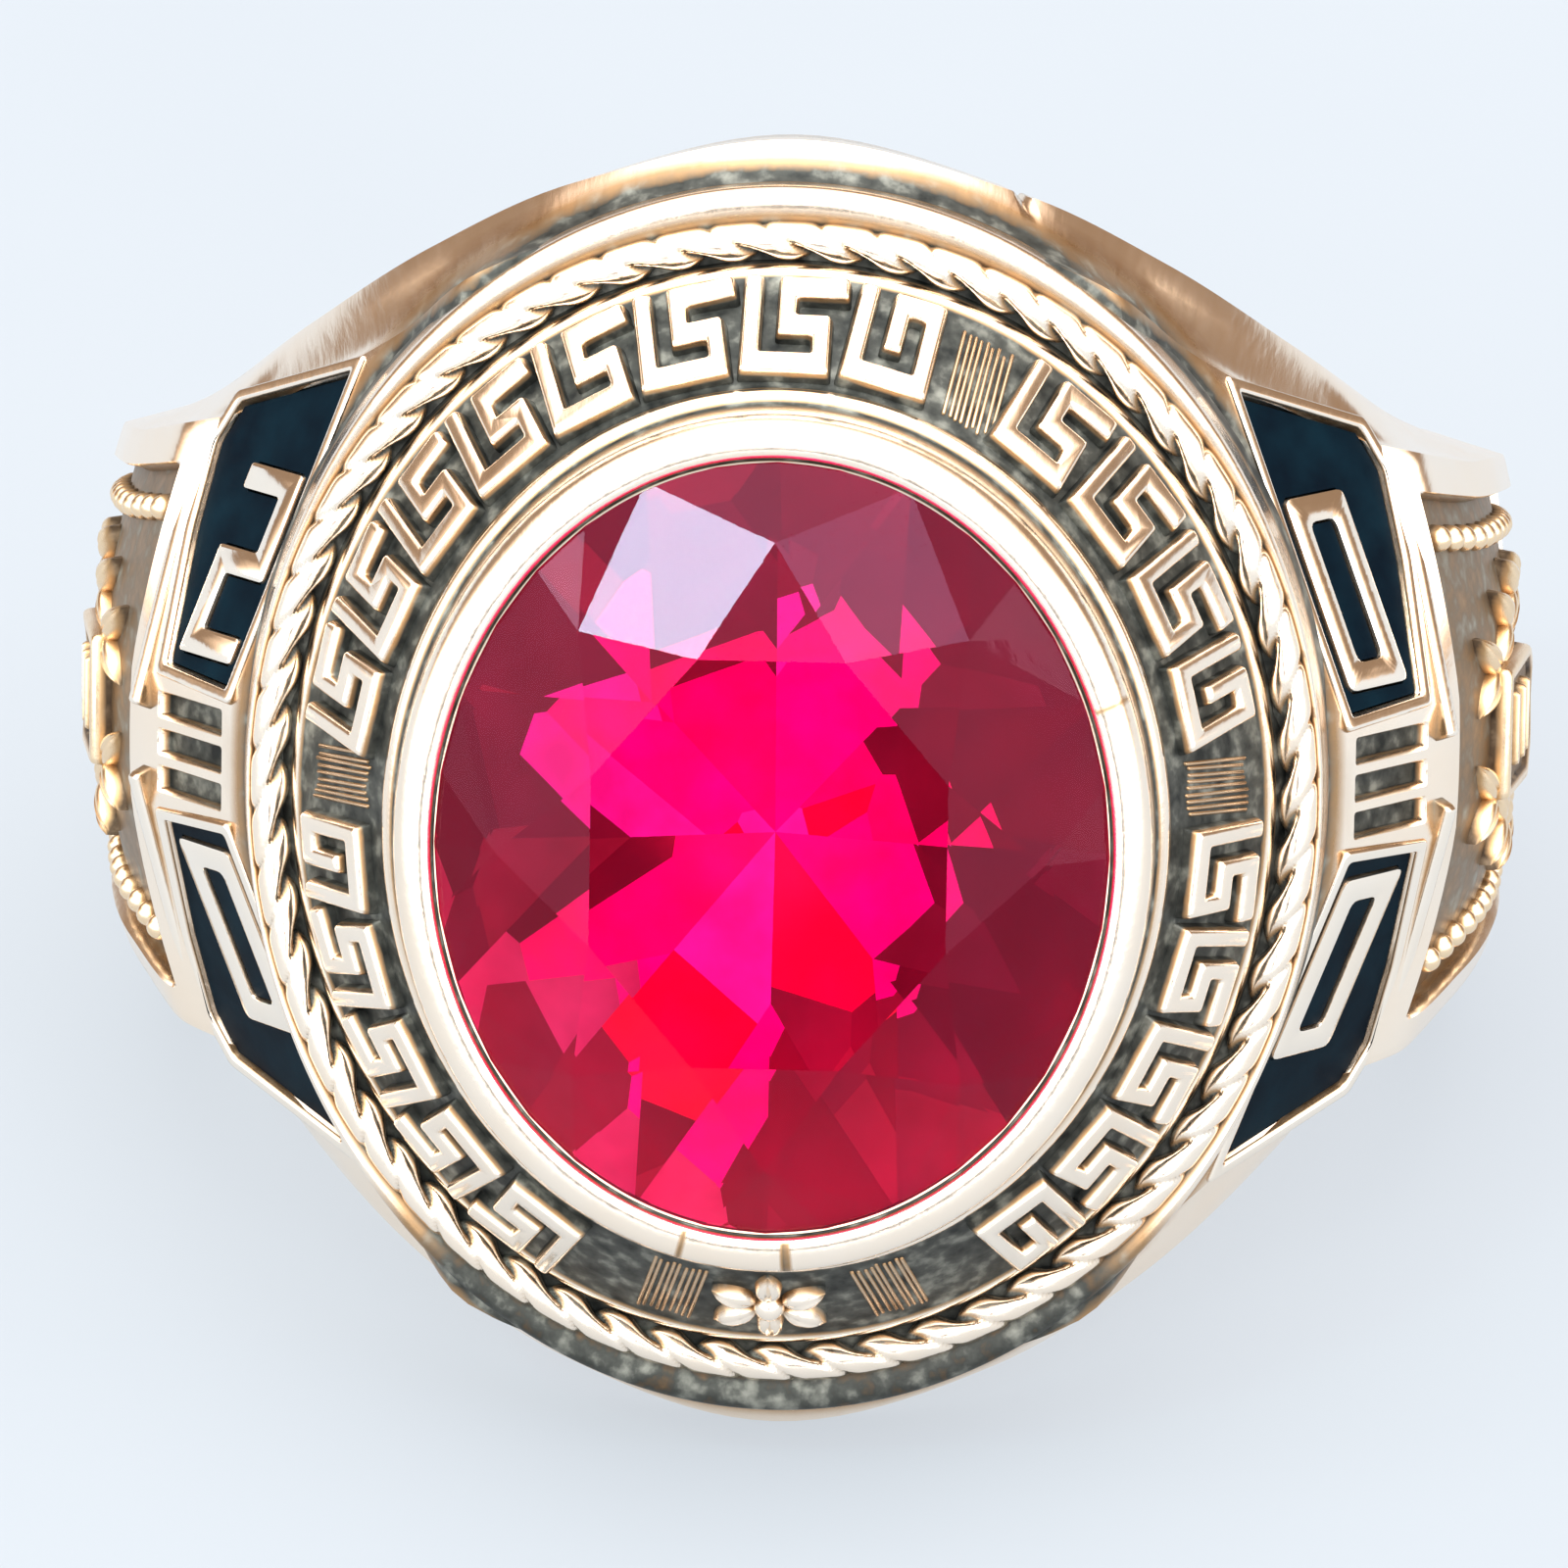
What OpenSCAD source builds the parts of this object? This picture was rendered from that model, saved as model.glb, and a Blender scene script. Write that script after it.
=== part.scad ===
// Class ring: an oval stone in a polished bezel, a cone-shaped ornament band inside a twisted cord border,
// black enamel numeral fields on both shoulders, and a tapering band.
// The ring lies on its side, as it rests on a table: on the edge of the head and the edge of the band.
// Origin: the centre of the finger hole. Millimetres, +Z up, the stone faces -Y.
// In the modules below the ring is drawn upright first: finger along Z, stone towards -Y.

/* [Finger hole] */
// Diameter of the finger hole
finger_d = 18.9; // [18.3:0.1:19.5]
// Wall left at both edges of the finger hole
rim_wall = 0.75; // [0.65:0.05:0.85]

/* [Band] */
// Thickness of the band at the back of the finger
shank_t = 1.75; // [1.6:0.05:2]
// Width of the band at the back of the finger
shank_w = 5.5; // [5:0.1:6]
// Thickness of the shoulders at the sides of the finger
shoulder_t = 3.3; // [3.2:0.05:3.6]

/* [Numeral faces] */
// Slope of the numeral faces down from the plane of the stone, in degrees
face_slope = 52.7; // [51:0.5:55]
// Tilt of the numeral faces towards the open ends of the finger hole, in degrees
face_tilt = 19.8; // [18:0.5:21]
// Metal between the finger hole and the numeral faces, square to the face
face_t = 3.1; // [3:0.05:3.25]
// Depth of the fields that hold the enamel
field_depth = 0.45; // [0.35:0.05:0.55]
// Gap between the enamel and the metal around it
enamel_gap = 0.03; // [0.02:0.01:0.06]
// Distance of the enamel's surface below the frame
enamel_drop = 0.08; // [0.04:0.01:0.15]

/* [Head] */
// Length of the head along the finger, at the edge of the finger hole
head_l = 21.2; // [20.6:0.1:21.8]
// Metal between the finger hole and the ledge under the cord, at the middle of the head
ledge_t = 2.25; // [2.1:0.05:2.4]
// Height of the cone from the ledge up to the foot of the bezel
cone_rise = 2.4; // [2.2:0.05:2.6]
// Width of the cone between the bezel and the cord
cone_w = 1.95; // [1.85:0.05:2.05]
// How far the head falls towards the shoulders
saddle = 0.9; // [0.6:0.1:1.1]
// Thickness of the twisted cord
cord_d = 0.62; // [0.56:0.02:0.68]
// Number of strands in the cord
cord_strands = 60; // [52:2:66]
// Width of the ledge outside the cord, at the open ends of the finger hole
ledge_w = 0.55; // [0.45:0.05:0.65]

/* [Stone] */
// Width of the stone across the finger
stone_w = 10.9; // [10.6:0.1:11.2]
// Length of the stone along the finger
stone_l = 12.7; // [12.4:0.1:13]
// Height of the crown above the girdle
crown_h = 1.45; // [1.3:0.05:1.6]
// Depth of the pavilion below the girdle
pavilion_h = 3.3; // [3:0.05:3.5]
// Thickness of the girdle
girdle_t = 0.3; // [0.25:0.05:0.4]
// Width of the table as a share of the stone
table_share = 0.56; // [0.5:0.01:0.6]
// Gap between the stone and its seat
seat_gap = 0.05; // [0.03:0.01:0.08]

/* [Bezel] */
// Width of the bezel's rim
bezel_w = 0.74; // [0.68:0.02:0.8]
// Height of the bezel above its foot
bezel_h = 1.2; // [1.1:0.05:1.3]
// How far the bezel's lip reaches over the stone
bezel_lip = 0.14; // [0.1:0.01:0.18]

/* [Ornament] */
// Height of the raised ornament above its ground
relief_h = 0.28; // [0.22:0.02:0.34]
// Width of the raised strokes of the key pattern
stroke_w = 0.28; // [0.24:0.02:0.32]
// Height of one row of the key pattern, along the slope of the cone
row_h = 0.4; // [0.36:0.02:0.42]
// Key patterns in each side run
side_keys = 5; // [3:1:5]
// Key patterns in the two runs over the top
top_keys = 12; // [10:1:12]
// Height of the numerals
digit_h = 3.3; // [3:0.1:3.4]
// Width of the numerals
digit_w = 1.55; // [1.45:0.05:1.6]
// Width of the strokes of the numerals
digit_stroke = 0.46; // [0.4:0.02:0.5]
// Depth of the sunken field on the sides of the band
side_depth = 0.4; // [0.3:0.05:0.5]

/* [Hidden] */

bore_r = finger_d / 2;
rim_r = bore_r + rim_wall;
face_d = bore_r + face_t;
ledge_y = bore_r + ledge_t;
bezel_foot_y = ledge_y + cone_rise;
bezel_top_y = bezel_foot_y + bezel_h;
open_a = stone_w / 2 - bezel_lip;
open_b = stone_l / 2 - bezel_lip;
// the stone's girdle lies this far below the bezel's rim
girdle_drop = 0.35;
girdle_y = bezel_top_y - girdle_drop;
cord_off = bezel_w + cone_w + cord_d / 2;
cord_out = bezel_w + cone_w + cord_d;
head_rim = head_l / 2;
back_half = shank_w / 2;
// the ring tips until the hole's edge at the head and the outer edge of the back both touch the table
rest_tilt = atan((head_rim - back_half) / (bore_r + rim_r));

// Sections of the band from the stone to the back of the finger.
// angle: from the stone's direction round the finger, in degrees
// rise: thickness over the finger hole, 0 at shank_t, 1 at shoulder_t; unused where the numeral faces rule
// width: half-width at the finger hole, 0 at the back of the band, 1 at the head
// face: half-width of the outer face as a share of the half-width at the finger hole
// cove: above 1 the flank is hollow, below 1 it is rounded
SECTIONS = [
    // angle, rise, width, face, cove
    [0,   0.00, 1.000, 0.94, 2.2],
    [21,  0.00, 0.885, 0.91, 2.2],
    [36,  0.00, 0.720, 0.83, 2.2],
    [52,  1.04, 0.516, 0.80, 2.0],
    [68,  0.97, 0.338, 0.85, 1.6],
    [80,  0.77, 0.250, 0.90, 1.2],
    [92,  0.54, 0.196, 0.90, 1.0],
    [112, 0.20, 0.120, 0.84, 0.8],
    [140, 0.06, 0.036, 0.66, 0.6],
    [180, 0.00, 0.000, 0.48, 0.5]
];
A = 0;
RISE = 1;
WIDTH = 2;
FACE = 3;
COVE = 4;

// where the numeral faces and the side field begin and end, in degrees round the finger
FACE_START = 34;
FACE_END = 54;
FIELD_START = 57.5;
FIELD_END = 98;
// the sloping ends of the side field, in degrees
BEVEL = 0.9;

// half-width of the ribbed block between the two numeral faces of a shoulder
block_half = 1.15;

// height of the middle of the band over the edges of its face: at the shoulders and at the back
crown_front = 1.6;
crown_back = 0.35;
// the band reaches its plain crown this many degrees behind the numeral faces
crown_run = 50;
// thickness of the band under the head, at its middle, and what is added towards the shoulders
under_head_t = 1.45;
under_head_more = 1.7;
// under the head the band stays this close to the numeral face's plane
under_head_lift = 0.6;
// degrees over which a numeral face runs into the side of the band
blend_run = 6;

function clamp(x, low, high) = max(low, min(high, x));
function smooth(x) = x * x * (3 - 2 * x);

// value of a column of SECTIONS at an angle, with smooth slopes between the rows
function slope(i, c) =
    let (n = len(SECTIONS) - 1)
    i == 0 || i == n ? 0
    : (SECTIONS[i + 1][c] - SECTIONS[i - 1][c]) / (SECTIONS[i + 1][A] - SECTIONS[i - 1][A]);
function row_at(angle, i = 0) =
    i >= len(SECTIONS) - 2 || angle < SECTIONS[i + 1][A] ? i : row_at(angle, i + 1);
function section(angle, c) =
    let (
        i = row_at(angle),
        gap = SECTIONS[i + 1][A] - SECTIONS[i][A],
        t = (angle - SECTIONS[i][A]) / gap,
        p = SECTIONS[i][c],
        q = SECTIONS[i + 1][c],
        m = slope(i, c) * gap,
        k = slope(i + 1, c) * gap
    )
    p * (2 * t ^ 3 - 3 * t ^ 2 + 1) + m * (t ^ 3 - 2 * t ^ 2 + t)
        + q * (3 * t ^ 2 - 2 * t ^ 3) + k * (t ^ 3 - t ^ 2);

function rim_half(angle) = back_half + section(angle, WIDTH) * (head_rim - back_half);
function face_half(angle) = rim_half(angle) * section(angle, FACE);

// distance from the finger's axis to a numeral face, at an angle and a height along the finger
function numeral_r(angle, z) =
    (face_d - max(z, block_half) * sin(face_tilt)) / (cos(face_tilt) * cos(angle - face_slope));
function band_r(angle) = bore_r + shank_t + section(angle, RISE) * (shoulder_t - shank_t);
// crown of the band across its width: the middle stands this much higher than the edge of the face
function crown(angle) =
    crown_front - (crown_front - crown_back) * smooth(clamp((angle - FACE_END) / crown_run, 0, 1));
// the head covers the front, so there the band only fills the space under it
function under_head_r(angle) =
    bore_r + under_head_t + under_head_more * smooth(clamp(angle / FACE_START, 0, 1));
function outer_r(angle, z) =
    angle < FACE_START ? min(under_head_r(angle), numeral_r(angle, z) + under_head_lift)
    : angle < FACE_END ? numeral_r(angle, z)
    : let (mix = smooth(clamp((angle - FACE_END) / blend_run, 0, 1)))
        (1 - mix) * numeral_r(min(angle, FACE_END + blend_run), z)
        + mix * (band_r(angle) - crown(angle) * (z / rim_half(angle)) ^ 2);

// Band: closed sections round the finger, each from the hole's edge over flank, face and back
FLANK_STEPS = 3;
SECTION_ANGLES = concat(
    [0, 8, 16, 24, 30, FACE_START - 0.1, FACE_START + 0.1, 40, 47, FACE_END],
    [FIELD_START, FIELD_START + BEVEL, 64, 71, 78, 85, 92, FIELD_END - BEVEL, FIELD_END],
    [106, 114, 123, 132, 142, 152, 162, 171]
);
ROUND_ANGLES = concat(
    SECTION_ANGLES,
    [180],
    [for (i = [len(SECTION_ANGLES) - 1:-1:1]) 360 - SECTION_ANGLES[i]]);

// points across the face, as shares of its half-width; the side field lies inside the first
FACE_SHARES = [0.88, 0.84, 0.62, 0.27];
// metal inside the finger hole's wall that the hole then removes
bore_skin = 0.6;
// the finger hole is cut this far past the head's ends
bore_reach = 2;

function in_field(angle) = angle > FIELD_START + BEVEL / 2 && angle < FIELD_END - BEVEL / 2;
function half_section(angle) =
    let (
        rim = rim_half(angle),
        edge = face_half(angle),
        top = outer_r(angle, edge),
        p = section(angle, COVE),
        sunk = in_field(angle) ? side_depth : 0
    )
    concat(
        [[bore_r - bore_skin, rim], [rim_r, rim]],
        [for (k = [1:FLANK_STEPS])
            let (s = k / FLANK_STEPS)
            [rim_r + (top - rim_r) * s, rim + (edge - rim) * (1 - (1 - s) ^ p)]],
        [for (share = FACE_SHARES)
            [outer_r(angle, edge * share) - (share < FACE_SHARES[0] ? sunk : 0), edge * share]],
        [[outer_r(angle, 0) - sunk, 0]]
    );
function full_section(angle) =
    let (half = half_section(angle), n = len(half))
    concat(half, [for (i = [n - 2:-1:0]) [half[i][0], -half[i][1]]]);

module band() {
    rings = [for (a = ROUND_ANGLES)
        [for (p = full_section(a > 180 ? 360 - a : a)) [p[0] * sin(a), -p[0] * cos(a), p[1]]]];
    n = len(rings);
    m = len(rings[0]);
    points = [for (ring = rings) each ring];
    faces = [for (i = [0:n - 1], j = [0:m - 1])
        let (i2 = (i + 1) % n, j2 = (j + 1) % m)
        each [[i * m + j, i2 * m + j, i2 * m + j2], [i * m + j, i2 * m + j2, i * m + j2]]];
    polyhedron(points = points, faces = faces, convexity = 10);
}

// Head: oval rings from the well of the stone over the bezel, the cone, the twisted cord and the ledge, and
// down into the band
// side: offset from the bezel's opening across the finger; end: the same along the finger
// height: distance from the finger's axis; fall: share of the saddle
// lean: how far a strand of the cord has turned here, in strands; strand: depth of its grooves
side_ledge = 0.1;
cord_r = cord_d / 2;
cord_sunk = 0.02;
strand_turn = 0.6;
strand_groove = 0.2;
foot_groove = 0.08;
// the bezel's lip slopes up from its opening, and its outer edge is rounded
lip_w = 0.14;
lip_rise = 0.16;
edge_round_w = 0.3;
edge_round_h = 0.5;
// the cone meets the cord a little below the ledge; the ledge's edge is rounded; the skirt under it
cone_foot = 0.06;
ledge_fall = 0.04;
ledge_edge = 0.24;
skirt_h = 1.5;
skirt_side = 0.15;
skirt_end = -0.1;
// the head's core ends inside the finger hole's wall
core_side = -1.4;
core_end = -0.6;
core_in = 0.4;
function level_ring(side, end, height, fall) = [side, end, height, fall, 0, 0];
function edge_ring(angle) =
    let (off = bezel_w - edge_round_w * (1 - cos(angle)))
    level_ring(off, off, bezel_top_y - edge_round_h * (1 - sin(angle)), 0);
function cord_ring(angle, groove) =
    let (off = cord_off - cord_r * cos(angle))
    [off, off, ledge_y - cord_sunk + cord_r * sin(angle), 1, strand_turn * cos(angle), groove];
HEAD_RINGS = [
    level_ring(0, 0, girdle_y, 0),
    level_ring(0, 0, bezel_top_y - lip_rise, 0),
    level_ring(lip_w, lip_w, bezel_top_y, 0),
    edge_ring(62),
    edge_ring(30),
    edge_ring(0),
    level_ring(bezel_w, bezel_w, bezel_foot_y, 0),
    level_ring(bezel_w + cone_w, bezel_w + cone_w, ledge_y - cone_foot, 1),
    cord_ring(-12, foot_groove),
    cord_ring(45, strand_groove),
    cord_ring(90, strand_groove),
    cord_ring(135, strand_groove),
    cord_ring(186, foot_groove),
    level_ring(cord_out + side_ledge * 0.8, cord_out + ledge_w * 0.9, ledge_y - ledge_fall, 1),
    level_ring(cord_out + side_ledge, cord_out + ledge_w, ledge_y - ledge_edge, 1),
    level_ring(cord_out + side_ledge + skirt_side, cord_out + ledge_w + skirt_end, ledge_y - skirt_h, 1),
    level_ring(cord_out + core_side, cord_out + core_end, bore_r - core_in, 0)
];
SIDE = 0;
END = 1;
HEIGHT = 2;
FALL = 3;
LEAN = 4;
STRAND = 5;
SMOOTH_STEPS = cord_strands;
FINE_STEPS = 2 * cord_strands;

function oval(t, side, end, height, fall) = [
    (open_a + side) * sin(t),
    -height + fall * saddle * sin(t) ^ 2,
    (open_b + end) * cos(t)
];
function steps(ring) = ring[STRAND] > 0 ? FINE_STEPS : SMOOTH_STEPS;
function ring_points(r) =
    [for (i = [0:steps(r) - 1])
        let (
            turn = 360 * (i + 2 * r[LEAN]) / steps(r),
            low = i % 2 == 1 ? r[STRAND] : 0,
            lean = r[LEAN] / strand_turn,
            in = low * lean
        )
        oval(turn, r[SIDE] + in, r[END] + in, r[HEIGHT] - low * (1 - abs(lean) / 2), r[FALL])];
function ring_starts(i = 0, at = 0) =
    i == len(HEAD_RINGS) ? [at] : concat([at], ring_starts(i + 1, at + steps(HEAD_RINGS[i])));
// the strip between two rings, of as many points or of twice as many
function strip(p, n, q, m) =
    n == m ? [for (i = [0:n - 1])
        let (j = (i + 1) % n)
        each [[p + i, q + j, p + j], [p + i, q + i, q + j]]]
    : m > n ? [for (i = [0:n - 1])
        let (j = (i + 1) % n, k = 2 * i)
        each [[p + i, q + k, q + k + 1], [p + i, q + k + 1, p + j], [p + j, q + k + 1, q + (k + 2) % m]]]
    : [for (i = [0:m - 1])
        let (j = (i + 1) % m, k = 2 * i)
        each [[q + i, p + k + 1, p + k], [q + i, q + j, p + k + 1], [q + j, p + (k + 2) % n, p + k + 1]]];

module head() {
    rings = len(HEAD_RINGS);
    starts = ring_starts();
    last = starts[rings];
    points = concat(
        [for (r = HEAD_RINGS) each ring_points(r)],
        [[0, -HEAD_RINGS[0][HEIGHT], 0], [0, -HEAD_RINGS[rings - 1][HEIGHT], 0]]
    );
    n = SMOOTH_STEPS;
    faces = concat(
        [for (k = [0:rings - 2])
            each strip(starts[k], steps(HEAD_RINGS[k]), starts[k + 1], steps(HEAD_RINGS[k + 1]))],
        [for (i = [0:n - 1]) [last, i, (i + 1) % n]],
        [for (i = [0:n - 1]) [last + 1, starts[rings - 1] + (i + 1) % n, starts[rings - 1] + i]]
    );
    polyhedron(points = points, faces = faces, convexity = 10);
}

function unit(v) = v / norm(v);

// A spindle: a leaf or a strand with pointed ends, given its middle, its direction, its up and three sizes
// the full section of a spindle runs this share of its length to each side of its middle
full_share = 0.22;
module spindle(middle, along, up, length, width, height, sides = 4) {
    x = unit(along);
    z = unit(up - (up * x) * x);
    y = cross(z, x);
    ring = [for (end = [-1, 1], i = [0:sides - 1])
        middle + x * end * length * full_share
        + y * cos(360 * i / sides) * width / 2 + z * sin(360 * i / sides) * height / 2];
    points = concat([middle - x * length / 2], ring, [middle + x * length / 2]);
    last = 2 * sides + 1;
    faces = [for (i = [0:sides - 1])
        let (j = (i + 1) % sides)
        each [
            [0, 1 + i, 1 + j],
            [1 + i, 1 + sides + j, 1 + j], [1 + i, 1 + sides + i, 1 + sides + j],
            [last, 1 + sides + j, 1 + sides + i]
        ]];
    polyhedron(points = points, faces = faces);
}

// A point of the cone: t round the oval, u from 0 at the bezel to 1 at the cord, h above the ground
cone_angle = atan(cone_rise / cone_w);
cone_slant = norm([cone_w, cone_rise]);
function cone(t, u, h) =
    oval(
        t,
        bezel_w + cone_w * u + h * sin(cone_angle),
        bezel_w + cone_w * u + h * sin(cone_angle),
        bezel_foot_y - cone_rise * u + h * cos(cone_angle),
        u
    );

// Outline of one key pattern, in stroke widths and rows, and the shorter last one of a run
KEY = [[0, 0], [0, 5], [5, 5], [5, 2], [3, 2], [3, 1], [5.9, 1], [5.9, 0], [2, 0], [2, 3], [4, 3], [4, 4],
       [1, 4], [1, 0]];
KEY_END = [[0, 0], [0, 5], [5, 5], [5, 0], [2, 0], [2, 3], [3, 3], [3, 1], [4, 1], [4, 4], [1, 4], [1, 0]];
KEY_PITCH = 6;
KEY_ROWS = 5;
KEY_MIDDLE = 2.9;
// how deep the patterns reach into the cone
key_root = 0.2;

// A flat raised outline on the cone: x round the oval, y up towards the bezel
module on_cone(t) {
    here = cone(t, 0.5, 0);
    round = unit(cone(t + 1, 0.5, 0) - cone(t - 1, 0.5, 0));
    up = unit(cone(t, 0.1, 0) - cone(t, 0.9, 0));
    across = unit(up - (up * round) * round);
    out = cross(across, round);
    multmatrix([
        [round[0], across[0], out[0], here[0]],
        [round[1], across[1], out[1], here[1]],
        [round[2], across[2], out[2], here[2]],
        [0, 0, 0, 1]
    ])
        children();
}

// angle that one key pattern takes round the middle of the cone
mid_a = open_a + bezel_w + cone_w / 2;
mid_b = open_b + bezel_w + cone_w / 2;
function pitch_angle(t) =
    KEY_PITCH * stroke_w / (norm([mid_a * cos(t), mid_b * sin(t)]) * PI / 180);
// plain stretch between two runs of the pattern, in degrees
run_gap = 8.5;

// angle at the middle of the pattern number k of a run that begins at an angle
function key_angle(start, k) =
    k <= 0 ? start + pitch_angle(start) / 2 : key_angle(start, k - 1) + pitch_angle(key_angle(start, k - 1));
function run_end(start, count) =
    let (last = key_angle(start, count - 1))
    last + pitch_angle(last) / 2;

module key_run(start, count) {
    for (k = [0:count - 1])
        on_cone(key_angle(start, k))
            translate([-KEY_MIDDLE * stroke_w, -KEY_ROWS / 2 * row_h, -key_root])
                linear_extrude(height = relief_h + key_root)
                    polygon([for (p = k < count - 1 ? KEY : KEY_END) [p[0] * stroke_w, p[1] * row_h]]);
}

// A long and a short run over the top, and a side run below each of them
module key_band() {
    short_keys = floor(top_keys / 3);
    long_start = -run_end(run_gap / 2, ceil(top_keys / 2));
    short_start = run_end(long_start, top_keys - short_keys) + run_gap;
    right_start = run_end(short_start, short_keys) + run_gap;
    left_start = -run_end(run_gap - long_start, side_keys);
    key_run(long_start, top_keys - short_keys);
    key_run(short_start, short_keys);
    key_run(right_start, side_keys);
    key_run(left_start, side_keys);
}

// Rosette at the middle of the cone's lower end: petals round a button
rosette_angle = 180;
petal_count = 6;
petal_out = 0.64;
petal_l = 0.84;
petal_w = 0.46;
button_r = 0.38;
button_top_r = 0.24;
button_rise = 0.06;
button_root = 0.1;
module rosette() {
    on_cone(rosette_angle) {
        for (i = [0:petal_count - 1])
            rotate([0, 0, 360 * (i + 0.5) / petal_count])
                spindle([petal_out, 0, 0], [1, 0, 0], [0, 0, 1], petal_l, petal_w, 2 * relief_h);
        translate([0, 0, -button_root])
            cylinder(h = button_root + relief_h + button_rise, r1 = button_r, r2 = button_top_r, $fn = 9);
    }
}

// The stone in its place; its seat is the same form with a gap added all round
module stone_form(gap) {
    translate([0, -girdle_y, 0])
        rotate([90, 0, 0])
            oval_stone(stone_w / 2 + gap, stone_l / 2 + gap, gap);
}

// Facets of the stone. Eight table corners, eight points half way down the crown, sixteen girdle corners,
// eight points half way down the pavilion, and the culet. Heights are over the girdle's middle.
GIRDLE = 32;
// the cut is turned so that the stone's long axis runs between two table corners
facet_turn = 22.5;
function ring_of(a, b, share, height, count, shift) =
    [for (i = [0:count - 1])
        let (t = facet_turn + 360 * (i + shift) / count)
        [a * share * sin(t), b * share * cos(t), height]];
module oval_stone(a, b, gap) {
    half_g = girdle_t / 2 + gap * 0.4;
    top = crown_h + gap * 0.4;
    deep = pavilion_h + gap;
    mid_share = 0.80;
    mid_h = half_g + (top - half_g) * (1 - mid_share * cos(22.5)) / (1 - table_share);
    low_share = 0.42;
    low_h = -half_g - (deep - half_g) * (1 - low_share * cos(22.5));
    points = concat(
        [[0, 0, top]],
        ring_of(a, b, table_share, top, 8, 0),
        ring_of(a, b, mid_share, mid_h, 8, 0.5),
        ring_of(a, b, 1, half_g, GIRDLE, 0),
        ring_of(a, b, 1, -half_g, GIRDLE, 0),
        ring_of(a, b, low_share, low_h, 8, 0.5),
        [[0, 0, -deep]]
    );
    t0 = 1;
    m0 = 9;
    g0 = 17;
    h0 = g0 + GIRDLE;
    l0 = h0 + GIRDLE;
    culet = l0 + 8;
    step = GIRDLE / 8;
    faces = concat(
        [for (i = [0:7]) [0, t0 + i, t0 + (i + 1) % 8]],
        [for (i = [0:7]) [t0 + i, m0 + i, t0 + (i + 1) % 8]],
        [for (i = [0:7]) [t0 + i, g0 + i * step, m0 + i]],
        [for (i = [0:7]) [t0 + i, m0 + (i + 7) % 8, g0 + i * step]],
        [for (i = [0:7], j = [0:step - 1]) [m0 + i, g0 + i * step + j, g0 + (i * step + j + 1) % GIRDLE]],
        [for (i = [0:GIRDLE - 1]) [g0 + i, h0 + i, h0 + (i + 1) % GIRDLE]],
        [for (i = [0:GIRDLE - 1]) [g0 + i, h0 + (i + 1) % GIRDLE, g0 + (i + 1) % GIRDLE]],
        [for (i = [0:7], j = [0:step - 1]) [l0 + i, h0 + (i * step + j + 1) % GIRDLE, h0 + i * step + j]],
        [for (i = [0:7]) [h0 + i * step, culet, l0 + i]],
        [for (i = [0:7]) [h0 + i * step, l0 + (i + 7) % 8, culet]]
    );
    polyhedron(points = points, faces = faces);
}

module seat() {
    stone_form(seat_gap);
}

// A numeral face's own plane: x down the slope, y along the finger, z out of the face
module on_face(side, end) {
    mirror([side < 0 ? 1 : 0, 0, 0])
        mirror([0, 0, end < 0 ? 1 : 0])
            rotate([0, 0, face_slope])
                rotate([90 - face_tilt, 0, 0])
                    translate([0, 0, face_d])
                        children();
}

// Corners of a numeral field in that plane
FIELD = [[-1.82, -3.2], [0.02, -3.1], [0.42, -0.9], [0.52, 0.6], [0.2, 1.3], [-2.56, 2.25]];
// height that the cutters reach above the faces, and depth that the numerals reach into the field's floor
above = 1;
digit_root = 0.1;
// the digit leans with the field's inner edge
digit_lean = -0.14;
digit_low = -2.85;
digit_mid = -0.9;
// corners of the numerals are cut off by this share of half a stroke
digit_cut = 0.55;

module field() {
    translate([0, 0, -field_depth])
        linear_extrude(height = field_depth + above)
            polygon(FIELD);
}

// a convex outline moved out by d (in if negative), corner by corner
function edge_out(p, q) = unit([q[1] - p[1], p[0] - q[0]]);
function grown(outline, d) =
    [for (i = [0:len(outline) - 1])
        let (
            n = len(outline),
            p = outline[(i + n - 1) % n],
            q = outline[i],
            r = outline[(i + 1) % n],
            e = edge_out(p, q),
            f = edge_out(q, r)
        )
        q + (e + f) * d / (1 + e * f)];

// Block numerals as bars, in shares of the numeral's width and height; the stroke is added round each line
DIGIT_TWO = [[0, 1, 1, 1], [1, 0.5, 1, 1], [0, 0.5, 1, 0.5], [0, 0, 0, 0.5], [0, 0, 1, 0]];
DIGIT_ZERO = [[0, 1, 1, 1], [1, 0, 1, 1], [0, 0, 0, 1], [0, 0, 1, 0]];

module digit(bars, grow) {
    w = digit_w - digit_stroke;
    h = digit_h - digit_stroke;
    r = digit_stroke / 2 + grow;
    cut = r * digit_cut;
    for (b = bars) {
        x0 = min(b[0], b[2]) * w - w / 2;
        x1 = max(b[0], b[2]) * w - w / 2;
        y0 = b[1] * h + digit_stroke / 2;
        y1 = b[3] * h + digit_stroke / 2;
        polygon([for (c = [[x0 - r, y0 - r + cut], [x0 - r + cut, y0 - r], [x1 + r - cut, y0 - r],
                           [x1 + r, y0 - r + cut], [x1 + r, y1 + r - cut], [x1 + r - cut, y1 + r],
                           [x0 - r + cut, y1 + r], [x0 - r, y1 + r - cut]])
            [digit_mid + c[0] + digit_lean * c[1], digit_low + c[1]]]);
    }
}

module raised_digit(bars) {
    translate([0, 0, -field_depth - digit_root])
        linear_extrude(height = field_depth + digit_root)
            digit(bars, 0);
}

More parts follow.
